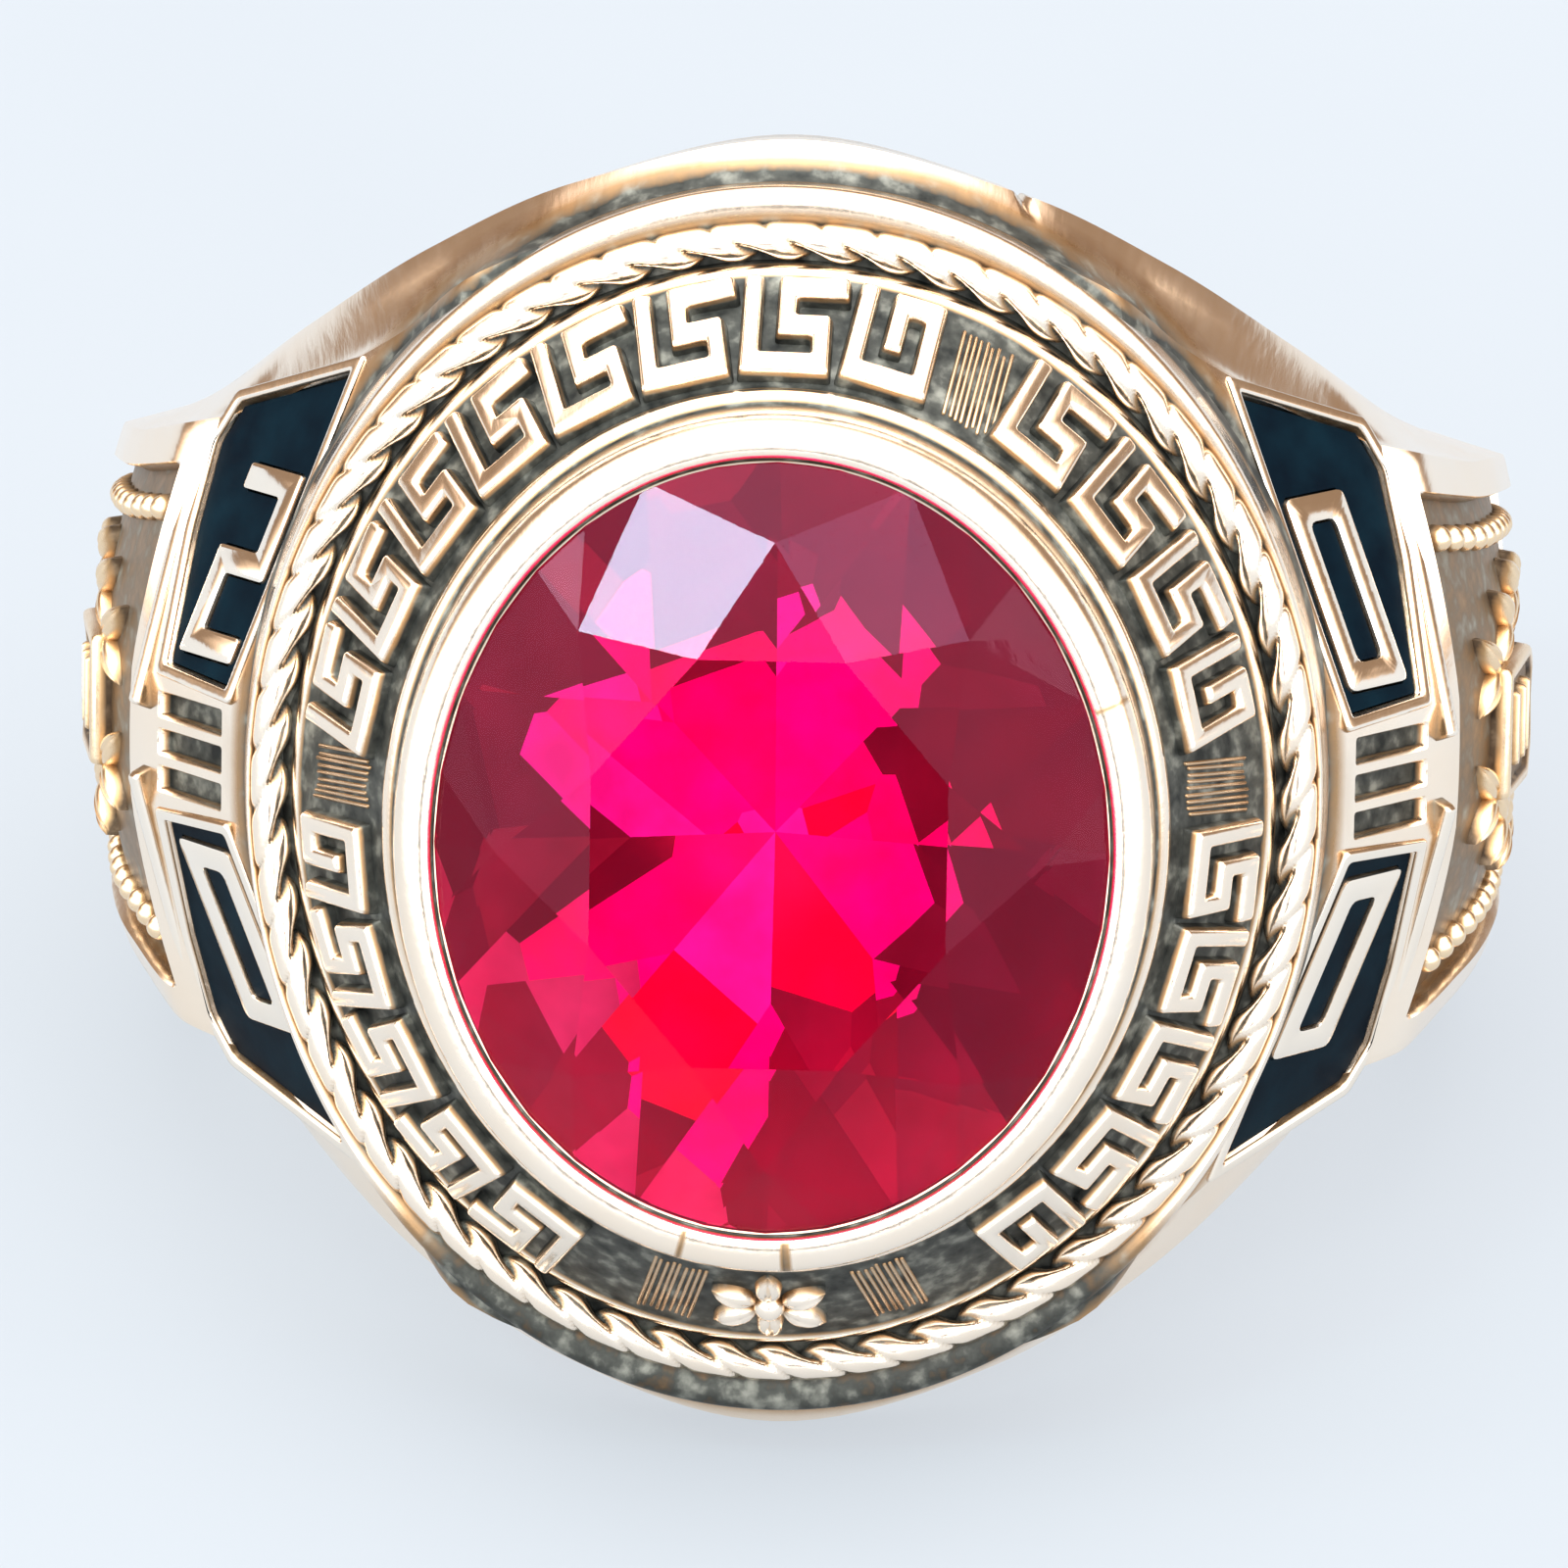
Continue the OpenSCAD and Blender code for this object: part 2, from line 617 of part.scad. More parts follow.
module enamel(bars) {
    difference() {
        translate([0, 0, enamel_gap - field_depth])
            linear_extrude(height = field_depth - enamel_gap - enamel_drop)
                polygon(grown(FIELD, -enamel_gap));
        translate([0, 0, -field_depth - digit_root])
            linear_extrude(height = field_depth + above)
                digit(bars, enamel_gap);
    }
}

// Ribbed block between the numeral faces: sunken slots with ribs between them
slot_count = 3;
slot_pitch = 0.62;
slot_w = 0.42;
slot_depth = 0.28;
// ends of the slots on the numeral face's slope, from its middle line
slot_from = -1.75;
slot_to = 0.2;
module rib_slots(side) {
    mirror([side < 0 ? 1 : 0, 0, 0])
        rotate([0, 0, face_slope])
            for (k = [0:slot_count - 1])
                translate([slot_from, 0, (k - (slot_count - 1) / 2) * slot_pitch])
                    rotate([90, 0, 0])
                        translate([0, -slot_w / 2, numeral_r(face_slope, 0) - slot_depth])
                            cube([slot_to - slot_from, slot_w, slot_depth + above]);
}

// Raised strips along the outer edges of the numeral fields
STRIP = [[0.42, -3.9], [0.66, -3.9], [1.08, 0.8], [0.84, 0.8]];
strip_h = 0.12;
strip_root = 0.5;
module side_bars(side) {
    for (end = [-1, 1])
        on_face(side, end)
            translate([0, 0, -strip_root])
                linear_extrude(height = strip_root + strip_h)
                    polygon(STRIP);
}

// Relief on the sides of the band: a plain shield, a leafy spray on each side of it and two rows of beads
function side_point(angle, z, h) =
    let (r = outer_r(angle, abs(z)) - side_depth + h)
    [r * sin(angle), -r * cos(angle), z];

// outline of the shield, its top towards the stone
SHIELD = [[-1.1, -1.7], [1.1, -1.7], [1.15, 0.5], [0.75, 1.4], [0, 2.0], [-0.75, 1.4], [-1.15, 0.5]];
shield_angle = 77;
// the shield follows the band, which thins towards the back
shield_lean = 7;
shield_h = 0.38;
shield_rim = 0.25;
shield_dish = 0.1;
shield_root = 0.3;
module shield() {
    rotate([0, 0, shield_angle])
        rotate([90, 0, 0])
            translate([0, 0, outer_r(shield_angle, 0) - side_depth - shield_root])
                rotate([0, shield_lean, 0])
                    rotate([0, 0, 90])
                        difference() {
                            linear_extrude(height = shield_root + shield_h)
                                polygon(SHIELD);
                            translate([0, 0, shield_root + shield_h - shield_dish])
                                linear_extrude(height = above)
                                    polygon(grown(SHIELD, -shield_rim));
                        }
}

// A spray climbs beside the shield from below its point: pairs of leaves along a stem that swings out and in
spray_pairs = 5;
spray_foot = 91;
spray_pitch = 5.6;
stem_z = 0.95;
stem_swing = 1.05;
stem_turn = 36;
stem_start = 30;
leaf_l = 1.15;
leaf_w = 0.42;
leaf_h = 0.5;
leaf_lift = 0.08;
leaf_apart = 0.3;
leaf_spread = 0.75;
leaf_up = 0.2;
module spray(end) {
    for (k = [0:spray_pairs - 1]) {
        a = spray_foot - k * spray_pitch;
        z = end * (stem_z + stem_swing * sin(k * stem_turn + stem_start));
        here = side_point(a, z, leaf_lift);
        up = [sin(a), -cos(a), 0];
        climb = unit(side_point(a - spray_pitch, z, leaf_lift) - here);
        for (fork = [-1, 1])
            spindle(here + [0, 0, end * fork * leaf_apart] + climb * leaf_up,
                    climb + [0, 0, end * fork * leaf_spread], up, leaf_l, leaf_w, leaf_h);
    }
}

// A row of beads along the edge of the side field
bead_count = 10;
bead_start = 62;
bead_pitch = 3.6;
bead_share = 0.72;
bead_r = 0.25;
bead_lift = 0.12;
module beads(end) {
    for (k = [0:bead_count - 1]) {
        a = bead_start + k * bead_pitch;
        bead(side_point(a, end * face_half(a) * bead_share, bead_lift), a);
    }
}

// An eight-sided bead with its corners towards its neighbours
module bead(middle, angle) {
    round = [cos(angle), sin(angle), 0];
    out = [sin(angle), -cos(angle), 0];
    points = [for (v = [round, [0, 0, 1], out], s = [1, -1]) middle + v * s * bead_r];
    faces = [[0, 4, 2], [2, 4, 1], [1, 4, 3], [3, 4, 0], [2, 5, 0], [1, 5, 2], [3, 5, 1], [0, 5, 3]];
    polyhedron(points = points, faces = faces);
}

module side_relief() {
    shield();
    for (end = [-1, 1]) {
        spray(end);
        beads(end);
    }
}

module casting() {
    difference() {
        union() {
            band();
            head();
            key_band();
            rosette();
            for (side = [0, 1])
                mirror([side, 0, 0])
                    side_relief();
            side_bars(1);
            side_bars(-1);
        }
        for (side = [-1, 1], end = [-1, 1])
            on_face(side, end)
                field();
        rib_slots(1);
        rib_slots(-1);
        seat();
    }
    numerals();
}

module numerals() {
    on_face(-1, 1)
        raised_digit_left(DIGIT_TWO);
    on_face(-1, -1)
        raised_digit(DIGIT_ZERO);
    on_face(1, 1)
        raised_digit(DIGIT_ZERO);
    on_face(1, -1)
        raised_digit(DIGIT_ZERO);
}

module raised_digit_left(bars) {
    raised_digit([for (b = bars) [1 - b[0], b[1], 1 - b[2], b[3]]]);
}

module at_rest() {
    rotate([-rest_tilt, 0, 0])
        children();
}

module ring_body() {
    color("gold")
        at_rest()
            difference() {
                resize([0, 0, 0])
                    casting();
                cylinder(h = head_l + 2 * bore_reach, d = finger_d, center = true, $fn = 96);
            }
}

module stone() {
    color("crimson")
        at_rest()
            stone_form(0);
}

module enamel_left_upper() {
    color("black")
        at_rest()
            on_face(-1, 1)
                enamel([for (b = DIGIT_TWO) [1 - b[0], b[1], 1 - b[2], b[3]]]);
}

module enamel_left_lower() {
    color("black")
        at_rest()
            on_face(-1, -1)
                enamel(DIGIT_ZERO);
}

module enamel_right_upper() {
    color("black")
        at_rest()
            on_face(1, 1)
                enamel(DIGIT_ZERO);
}

module enamel_right_lower() {
    color("black")
        at_rest()
            on_face(1, -1)
                enamel(DIGIT_ZERO);
}

ring_body();
stone();
enamel_left_upper();
enamel_left_lower();
enamel_right_upper();
enamel_right_lower();
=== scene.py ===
# Class ring: dense meshes for the casting, materials for stone and enamel, a pale floor and soft light.
# Shapes are in millimetres in the ring's upright frame: finger along Z, stone towards -Y. Angles are in
# degrees. Bump distances, the floor, the lamps and the camera's distance are in metres.
import math
import random

import bmesh
import bpy
from mathutils import Matrix, Vector

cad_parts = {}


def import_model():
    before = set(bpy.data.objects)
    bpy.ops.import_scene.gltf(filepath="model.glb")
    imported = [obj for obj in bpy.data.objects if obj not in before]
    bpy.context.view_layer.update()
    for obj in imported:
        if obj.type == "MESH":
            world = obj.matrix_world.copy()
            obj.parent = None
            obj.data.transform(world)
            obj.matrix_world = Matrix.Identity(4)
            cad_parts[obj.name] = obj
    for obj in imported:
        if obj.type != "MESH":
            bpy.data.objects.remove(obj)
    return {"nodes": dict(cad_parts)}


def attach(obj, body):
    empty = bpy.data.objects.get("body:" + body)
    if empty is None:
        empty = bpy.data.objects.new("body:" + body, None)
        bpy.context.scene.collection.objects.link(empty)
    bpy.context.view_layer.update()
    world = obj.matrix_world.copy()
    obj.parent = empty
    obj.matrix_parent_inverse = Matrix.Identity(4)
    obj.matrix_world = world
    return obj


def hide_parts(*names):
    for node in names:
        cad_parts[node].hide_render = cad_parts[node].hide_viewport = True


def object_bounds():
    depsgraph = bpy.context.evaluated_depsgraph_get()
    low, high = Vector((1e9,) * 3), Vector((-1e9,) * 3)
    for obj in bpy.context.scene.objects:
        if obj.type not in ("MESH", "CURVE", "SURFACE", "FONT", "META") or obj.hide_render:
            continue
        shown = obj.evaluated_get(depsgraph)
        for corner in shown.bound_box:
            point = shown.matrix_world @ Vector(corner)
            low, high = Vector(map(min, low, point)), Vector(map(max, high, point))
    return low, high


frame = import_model()
cad_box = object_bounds()
random.seed(11)

# ---- the sizes of the CAD model ----
FINGER_D, RIM_WALL = 18.9, 0.75
SHANK_T, SHANK_W, SHOULDER_T = 1.75, 5.5, 3.3
FACE_SLOPE, FACE_TILT, FACE_T, FIELD_DEPTH = 52.7, 19.8, 3.1, 0.45
HEAD_L, LEDGE_T, CONE_RISE, CONE_W, SADDLE = 21.2, 2.25, 2.4, 1.95, 0.9
CORD_D, CORD_STRANDS, LEDGE_W, SIDE_LEDGE = 0.62, 60, 0.55, 0.1
STONE_W, STONE_L, PAVILION_H, GIRDLE_T, FACET_TURN = 10.9, 12.7, 3.3, 0.3, 22.5
BEZEL_W, BEZEL_H, BEZEL_LIP, GIRDLE_DROP = 0.74, 1.2, 0.14, 0.35
RELIEF_H, STROKE_W, ROW_H, SIDE_KEYS, TOP_KEYS = 0.28, 0.28, 0.4, 5, 12
DIGIT_H, DIGIT_W, DIGIT_STROKE, SIDE_DEPTH = 3.3, 1.55, 0.46, 0.4
DIGIT_LEAN, DIGIT_LOW, DIGIT_MID = -0.14, -2.85, -0.9
UNDER_HEAD_T, UNDER_HEAD_MORE, UNDER_HEAD_LIFT = 1.45, 1.7, 0.6
CROWN_FRONT, CROWN_BACK, CROWN_RUN = 1.6, 0.35, 50
BLOCK_HALF = 1.15
FACE_START, FACE_END, BLEND_RUN, FIELD_START, FIELD_END = 34, 54, 6, 57.5, 98

BORE_R = FINGER_D / 2
RIM_R = BORE_R + RIM_WALL
FACE_D = BORE_R + FACE_T
LEDGE_Y = BORE_R + LEDGE_T
FOOT_Y = LEDGE_Y + CONE_RISE
TOP_Y = FOOT_Y + BEZEL_H
OPEN_A = STONE_W / 2 - BEZEL_LIP
OPEN_B = STONE_L / 2 - BEZEL_LIP
GIRDLE_Y = TOP_Y - GIRDLE_DROP
CORD_OFF = BEZEL_W + CONE_W + CORD_D / 2
CORD_OUT = BEZEL_W + CONE_W + CORD_D
HEAD_RIM = HEAD_L / 2
BACK_HALF = SHANK_W / 2
TILT = math.atan((HEAD_RIM - BACK_HALF) / (BORE_R + RIM_R))

SECTIONS = [
    # angle, rise, width, face, cove
    (0, 0.00, 1.000, 0.94, 2.2),
    (21, 0.00, 0.885, 0.91, 2.2),
    (36, 0.00, 0.720, 0.83, 2.2),
    (52, 1.04, 0.516, 0.80, 2.0),
    (68, 0.97, 0.338, 0.85, 1.6),
    (80, 0.77, 0.250, 0.90, 1.2),
    (92, 0.54, 0.196, 0.90, 1.0),
    (112, 0.20, 0.120, 0.84, 0.8),
    (140, 0.06, 0.036, 0.66, 0.6),
    (180, 0.00, 0.000, 0.48, 0.5),
]
RISE, WIDTH, FACE, COVE = 1, 2, 3, 4

# The lift under the head fades out over this angle before a numeral's face, so that no crease is left.
LIFT_FADE = 9


def sin(d):
    return math.sin(math.radians(d))


def cos(d):
    return math.cos(math.radians(d))


def clamp(x, low=0.0, high=1.0):
    return max(low, min(high, x))


def smooth(x):
    x = clamp(x)
    return x * x * (3 - 2 * x)


def slope(i, c):
    if i == 0 or i == len(SECTIONS) - 1:
        return 0
    return (SECTIONS[i + 1][c] - SECTIONS[i - 1][c]) / (SECTIONS[i + 1][0] - SECTIONS[i - 1][0])


def section(angle, c):
    """Column c of SECTIONS at an angle from the stone, on a smooth curve through the rows."""
    i = 0
    while i < len(SECTIONS) - 2 and angle >= SECTIONS[i + 1][0]:
        i += 1
    gap = SECTIONS[i + 1][0] - SECTIONS[i][0]
    t = (angle - SECTIONS[i][0]) / gap
    p, q = SECTIONS[i][c], SECTIONS[i + 1][c]
    m, k = slope(i, c) * gap, slope(i + 1, c) * gap
    return (p * (2 * t**3 - 3 * t**2 + 1) + m * (t**3 - 2 * t**2 + t)
            + q * (3 * t**2 - 2 * t**3) + k * (t**3 - t**2))


def rim_half(angle):
    return BACK_HALF + section(angle, WIDTH) * (HEAD_RIM - BACK_HALF)


def face_half(angle):
    return rim_half(angle) * section(angle, FACE)


def numeral_r(angle, z):
    """The radius at which a numeral's flat face lies."""
    return ((FACE_D - max(z, BLOCK_HALF) * sin(FACE_TILT))
            / (cos(FACE_TILT) * cos(angle - FACE_SLOPE)))


def outer_r(angle, z):
    """The casting's outer radius: under the head, on a numeral's face, then round the side and back."""
    z = abs(z)
    if angle < FACE_START:
        under = BORE_R + UNDER_HEAD_T + UNDER_HEAD_MORE * smooth(angle / FACE_START)
        lift = UNDER_HEAD_LIFT * smooth((FACE_START - angle) / LIFT_FADE)
        return min(under, numeral_r(angle, z) + lift)
    if angle < FACE_END:
        return numeral_r(angle, z)
    mix = smooth((angle - FACE_END) / BLEND_RUN)
    crown = (CROWN_FRONT - CROWN_BACK) * (1 - smooth((angle - FACE_END) / CROWN_RUN)) + CROWN_BACK
    middle_r = BORE_R + SHANK_T + section(angle, RISE) * (SHOULDER_T - SHANK_T)
    band_r = middle_r - crown * (z / rim_half(angle)) ** 2
    return (1 - mix) * numeral_r(min(angle, FACE_END + BLEND_RUN), z) + mix * band_r


# ---- meshes ----
MM = 0.001
TO_REST = Matrix.Rotation(-TILT, 4, "X")


def world(p):
    return TO_REST @ (Vector(p) * MM)


def upright(v):
    return TO_REST.inverted() @ (v / MM)


def unit(v):
    return Vector(v).normalized()


def spread(values, steps):
    """The list with evenly spaced values put between its members."""
    out = []
    for a, b in zip(values, values[1:]):
        out += [a + (b - a) * k / steps for k in range(steps)]
    return out + [values[-1]]


def grid_faces(rows, columns, close_rows=True, close_columns=False):
    """Four-sided faces over points that are listed row by row."""
    faces = []
    for i in range(rows if close_rows else rows - 1):
        here, after = i * columns, (i + 1) % rows * columns
        for j in range(columns if close_columns else columns - 1):
            k = (j + 1) % columns
            faces.append((here + j, here + k, after + k, after + j))
    return faces


def linked(name, data):
    obj = bpy.data.objects.new(name, data)
    bpy.context.scene.collection.objects.link(obj)
    return obj


def rest_mesh(name, points, faces):
    """A mesh from points in the ring's upright frame, turned to rest, its faces looking outwards."""
    mesh = bpy.data.meshes.new(name)
    mesh.from_pydata([world(p) for p in points], [], faces)
    mesh.validate()
    bm = bmesh.new()
    bm.from_mesh(mesh)
    bmesh.ops.recalc_face_normals(bm, faces=bm.faces)
    bm.to_mesh(mesh)
    bm.free()
    return mesh


def paint(mesh, material):
    mesh.materials.clear()
    mesh.materials.append(material)


def finish_mesh(mesh, material, angle):
    """Material and smooth shading. Edges sharper than the angle stay sharp."""
    paint(mesh, material)
    mesh.polygons.foreach_set("use_smooth", [True] * len(mesh.polygons))
    if angle is not None:
        mesh.set_sharp_from_angle(angle=math.radians(angle))


def piece(name, points, faces, material, angle=None, node="ring_body", patina_and_shade=None):
    """A visible piece that stands for a CAD solid. Its darkening has one value from 0 to 1 for each point:
    patina in hollows, and painted shade in places.
    """
    mesh = rest_mesh(name, points, faces)
    if patina_and_shade is not None:
        layer = mesh.attributes.new("patina_and_shade", "FLOAT", "POINT")
        layer.data.foreach_set("value", patina_and_shade)
    finish_mesh(mesh, material, angle)
    obj = linked(name, mesh)
    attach(obj, "root")
    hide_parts(node)
    return obj


# ---- materials ----
def new_material(name):
    material = bpy.data.materials.new(name)
    material.use_nodes = True
    tree = material.node_tree
    return material, tree, tree.nodes["Principled BSDF"]


def set_inputs(node, values):
    for name, value in values.items():
        node.inputs[name].default_value = value


def feed(tree, socket, value):
    """Links an output to the socket. Any other value becomes the socket's own."""
    if hasattr(value, "is_output"):
        tree.links.new(value, socket)
    else:
        socket.default_value = value


def noise(tree, label, scale, detail, stretch=(1, 1, 1)):
    coords = tree.nodes.new("ShaderNodeTexCoord")
    mapping = tree.nodes.new("ShaderNodeMapping")
    mapping.inputs["Scale"].default_value = stretch
    tree.links.new(coords.outputs["Object"], mapping.inputs["Vector"])
    node = tree.nodes.new("ShaderNodeTexNoise")
    node.label = label
    set_inputs(node, {"Scale": scale, "Detail": detail})
    tree.links.new(mapping.outputs["Vector"], node.inputs["Vector"])
    return node.outputs["Fac"]


def ramp(tree, source, stops, interpolation="LINEAR"):
    node = tree.nodes.new("ShaderNodeValToRGB")
    node.color_ramp.interpolation = interpolation
    tree.links.new(source, node.inputs["Fac"])
    elements = node.color_ramp.elements
    while len(elements) < len(stops):
        elements.new(0.5)
    for element, (place, colour) in zip(elements, stops):
        element.position = place
        element.color = (*colour, 1)
    return node.outputs["Color"]


def mix_colour(tree, factor, a, b, blend="MIX"):
    node = tree.nodes.new("ShaderNodeMix")
    node.data_type = "RGBA"
    node.blend_type = blend
    for index, value in ((0, factor), (6, a), (7, b)):
        feed(tree, node.inputs[index], (*value, 1) if isinstance(value, tuple) else value)
    return node.outputs[2]


def maths(tree, operation, *values, limit=False):
    node = tree.nodes.new("ShaderNodeMath")
    node.operation = operation
    node.use_clamp = limit
    for socket, value in zip(node.inputs, values):
        feed(tree, socket, value)
    return node.outputs[0]


def bump(tree, height, strength, distance):
    node = tree.nodes.new("ShaderNodeBump")
    set_inputs(node, {"Strength": strength, "Distance": distance})
    tree.links.new(height, node.inputs["Height"])
    tree.links.new(node.outputs["Normal"], tree.nodes["Principled BSDF"].inputs["Normal"])


SOOT = ((0.010, 0.012, 0.011), (0.060, 0.062, 0.054), (0.24, 0.24, 0.205))
BROWN_SOOT = ((0.030, 0.018, 0.010), (0.120, 0.080, 0.048), (0.34, 0.25, 0.16))
STAIN = (0.55, 0.33, 0.16)
BROWN_STAIN = (0.62, 0.38, 0.18)


def gold(name, tint, edge_tint, rough, scratch, grime=0.0, stain=STAIN, soot=SOOT):
    """Cast gold. Where the darkening attribute is high it is blackened and dull, with rubbed patches: patina
    in the hollows, and painted shade under the ledge and at the head's lower end.
    """
    material, tree, shader = new_material(name)
    attribute = tree.nodes.new("ShaderNodeAttribute")
    attribute.attribute_name = "patina_and_shade"
    mottle = noise(tree, "mottle", 2600, 6)
    cloud = noise(tree, "cloud", 420, 3)
    fine = noise(tree, "fine scratches", 5200, 3, (1.0, 0.12, 1.0))
    patina_and_shade = maths(tree, "ADD", attribute.outputs["Fac"], grime)
    patchy = maths(tree, "MULTIPLY_ADD", mottle, 0.9, maths(tree, "SUBTRACT", patina_and_shade, 0.45))
    amount = maths(tree, "MULTIPLY", patchy, patina_and_shade, limit=True)
    amount = maths(tree, "MULTIPLY", amount, 1.5, limit=True)
    clean = mix_colour(tree, cloud, tint, edge_tint)
    warm = mix_colour(tree, maths(tree, "MULTIPLY", amount, 3.0, limit=True), clean, edge_tint)
    stained = mix_colour(tree, maths(tree, "MULTIPLY", patina_and_shade, 2.2, limit=True), warm, stain)
    black = ramp(tree, mottle, list(zip((0.30, 0.52, 0.72), soot)))
    rubbed = maths(tree, "MULTIPLY_ADD", fine, 0.10, rough - 0.05)
    feed(tree, shader.inputs["Base Color"], mix_colour(tree, amount, stained, black))
    feed(tree, shader.inputs["Metallic"], maths(tree, "MULTIPLY_ADD", amount, -0.35, 1.0))
    feed(tree, shader.inputs["Roughness"], maths(tree, "MULTIPLY_ADD", amount, 0.34, rubbed))
    bump(tree, maths(tree, "MULTIPLY_ADD", mottle, amount, fine), scratch, 0.00004)
    return material


def enamel_material():
    material, tree, shader = new_material("black_enamel")
    colour = ramp(tree, noise(tree, "cloud", 900, 4),
                  [(0.35, (0.0005, 0.0035, 0.0075)), (0.7, (0.0015, 0.010, 0.017))])
    feed(tree, shader.inputs["Base Color"], colour)
    set_inputs(shader, {"Roughness": 0.38, "Specular IOR Level": 0.03})
    bump(tree, noise(tree, "surface", 1500, 3), 0.12, 0.00005)
    return material


def stone_material():
    material, tree, shader = new_material("red_stone")
    colour = ramp(tree, noise(tree, "depth", 260, 2),
                  [(0.36, (1.0, 0.05, 0.20)), (0.64, (1.0, 0.08, 0.30))])
    feed(tree, shader.inputs["Base Color"], colour)
    # The emission is a faint painted red glow in the stone.
    set_inputs(shader, {
        "Roughness": 0.0,
        "IOR": 1.76,
        "Specular IOR Level": 0.10,
        "Specular Tint": (0.14, 0.09, 0.14, 1),
        "Transmission Weight": 1.0,
        "Emission Color": (1.0, 0.0, 0.06, 1),
        "Emission Strength": 0.06,
    })
    bump(tree, noise(tree, "polish", 3200, 3), 0.03, 0.00002)
    return material


def foil_glow_material():
    """Flat patches on the foil that glow as painted light from inside the stone: hot pink under the table,
    maroon under the crown, and painted shade to the right.
    """
    material, tree, shader = new_material("foil_glow_behind_stone")
    flat = tree.nodes.new("ShaderNodeAttribute")
    flat.attribute_name = "flat"
    cells = tree.nodes.new("ShaderNodeTexVoronoi")
    cells.inputs["Scale"].default_value = 2.5
    tree.links.new(flat.outputs["Vector"], cells.inputs["Vector"])
    # a cell's colour is random: its red picks from the core's colours and its green from the rim's
    draw = tree.nodes.new("ShaderNodeSeparateColor")
    tree.links.new(cells.outputs["Color"], draw.inputs[0])
    middle = tree.nodes.new("ShaderNodeSeparateXYZ")
    tree.links.new(cells.outputs["Position"], middle.inputs[0])
    x, y = middle.outputs["X"], middle.outputs["Y"]
    out = maths(tree, "ADD", maths(tree, "MULTIPLY", x, x), maths(tree, "MULTIPLY", y, y))
    out = maths(tree, "ADD", maths(tree, "SQRT", out), maths(tree, "MULTIPLY", y, 0.10))
    core = ramp(tree, draw.outputs[0], [
        (0.00, (0.35, 0.0, 0.02)), (0.05, (0.85, 0.0, 0.05)), (0.17, (1.0, 0.0, 0.30)),
        (0.58, (0.95, 0.02, 0.50)), (0.88, (1.0, 0.0, 0.20))], "CONSTANT")
    # painted shade: the rim's cells lose brightness towards the right
    right_shade = maths(tree, "MULTIPLY", maths(tree, "MAXIMUM", x, 0.0), 0.55)
    rim = ramp(tree, maths(tree, "SUBTRACT", draw.outputs[1], right_shade), [
        (0.00, (0.035, 0.006, 0.016)), (0.34, (0.075, 0.010, 0.026)), (0.60, (0.15, 0.016, 0.035)),
        (0.80, (0.34, 0.035, 0.09)), (0.93, (0.55, 0.05, 0.16))], "CONSTANT")
    edge = ramp(tree, out, [(0.0, (0, 0, 0)), (0.56, (1, 1, 1))], "CONSTANT")
    creases = noise(tree, "creases", 900, 4)
    shade = ramp(tree, creases, [(0.3, (0.72, 0.72, 0.72)), (0.7, (1.15, 1.4, 1.25))])
    glow = mix_colour(tree, 1.0, mix_colour(tree, edge, core, rim), shade, "MULTIPLY")
    # the emission is painted light: the glow of light inside the stone
    feed(tree, shader.inputs["Emission Color"], glow)
    set_inputs(shader, {
        "Emission Strength": 1.2,
        "Base Color": (0.25, 0.02, 0.07, 1),
        "Metallic": 1.0,
        "Roughness": 0.22,
    })
    bump(tree, creases, 0.2, 0.00005)
    return material


POLISHED = gold("polished_gold", (1.0, 0.93, 0.84), (1.0, 0.86, 0.70), 0.12, 0.10)
CAST = gold("cast_gold", (1.0, 0.92, 0.82), (1.0, 0.81, 0.62), 0.20, 0.16)
SIDE = gold("side_gold", (1.0, 0.84, 0.62), (1.0, 0.73, 0.46), 0.24, 0.18, 0.08, BROWN_STAIN, BROWN_SOOT)
ENAMEL = enamel_material()
STONE = stone_material()
FOIL = foil_glow_material()


# ---- head ----
def oval(t, side, end, height, fall):
    """A point at angle t round the stone's opening, moved out by side and end."""
    return (
        (OPEN_A + side) * sin(t),
        -height + fall * SADDLE * sin(t) ** 2,
        (OPEN_B + end) * cos(t),
    )


CONE_ANGLE = math.degrees(math.atan2(CONE_RISE, CONE_W))


def cone_row(u, h):
    """What oval takes for a line at share u down the cone, and h off its surface."""
    off = BEZEL_W + CONE_W * u + h * sin(CONE_ANGLE)
    return (off, off, FOOT_Y - CONE_RISE * u + h * cos(CONE_ANGLE), u)


def cone(t, u, h):
    return oval(t, *cone_row(u, h))


WIRES = [
    # share down the cone, height
    (0.075, 0.075),
    (0.925, 0.065),
]
WIRE_HALF = 0.05
CLEAN_LIFT = 0.05


def cone_lift(u):
    """Two fine raised lines run along the edges of the ornament's ground."""
    return max(size * max(0.0, 1 - ((u - middle) / WIRE_HALF) ** 2) for middle, size in WIRES)


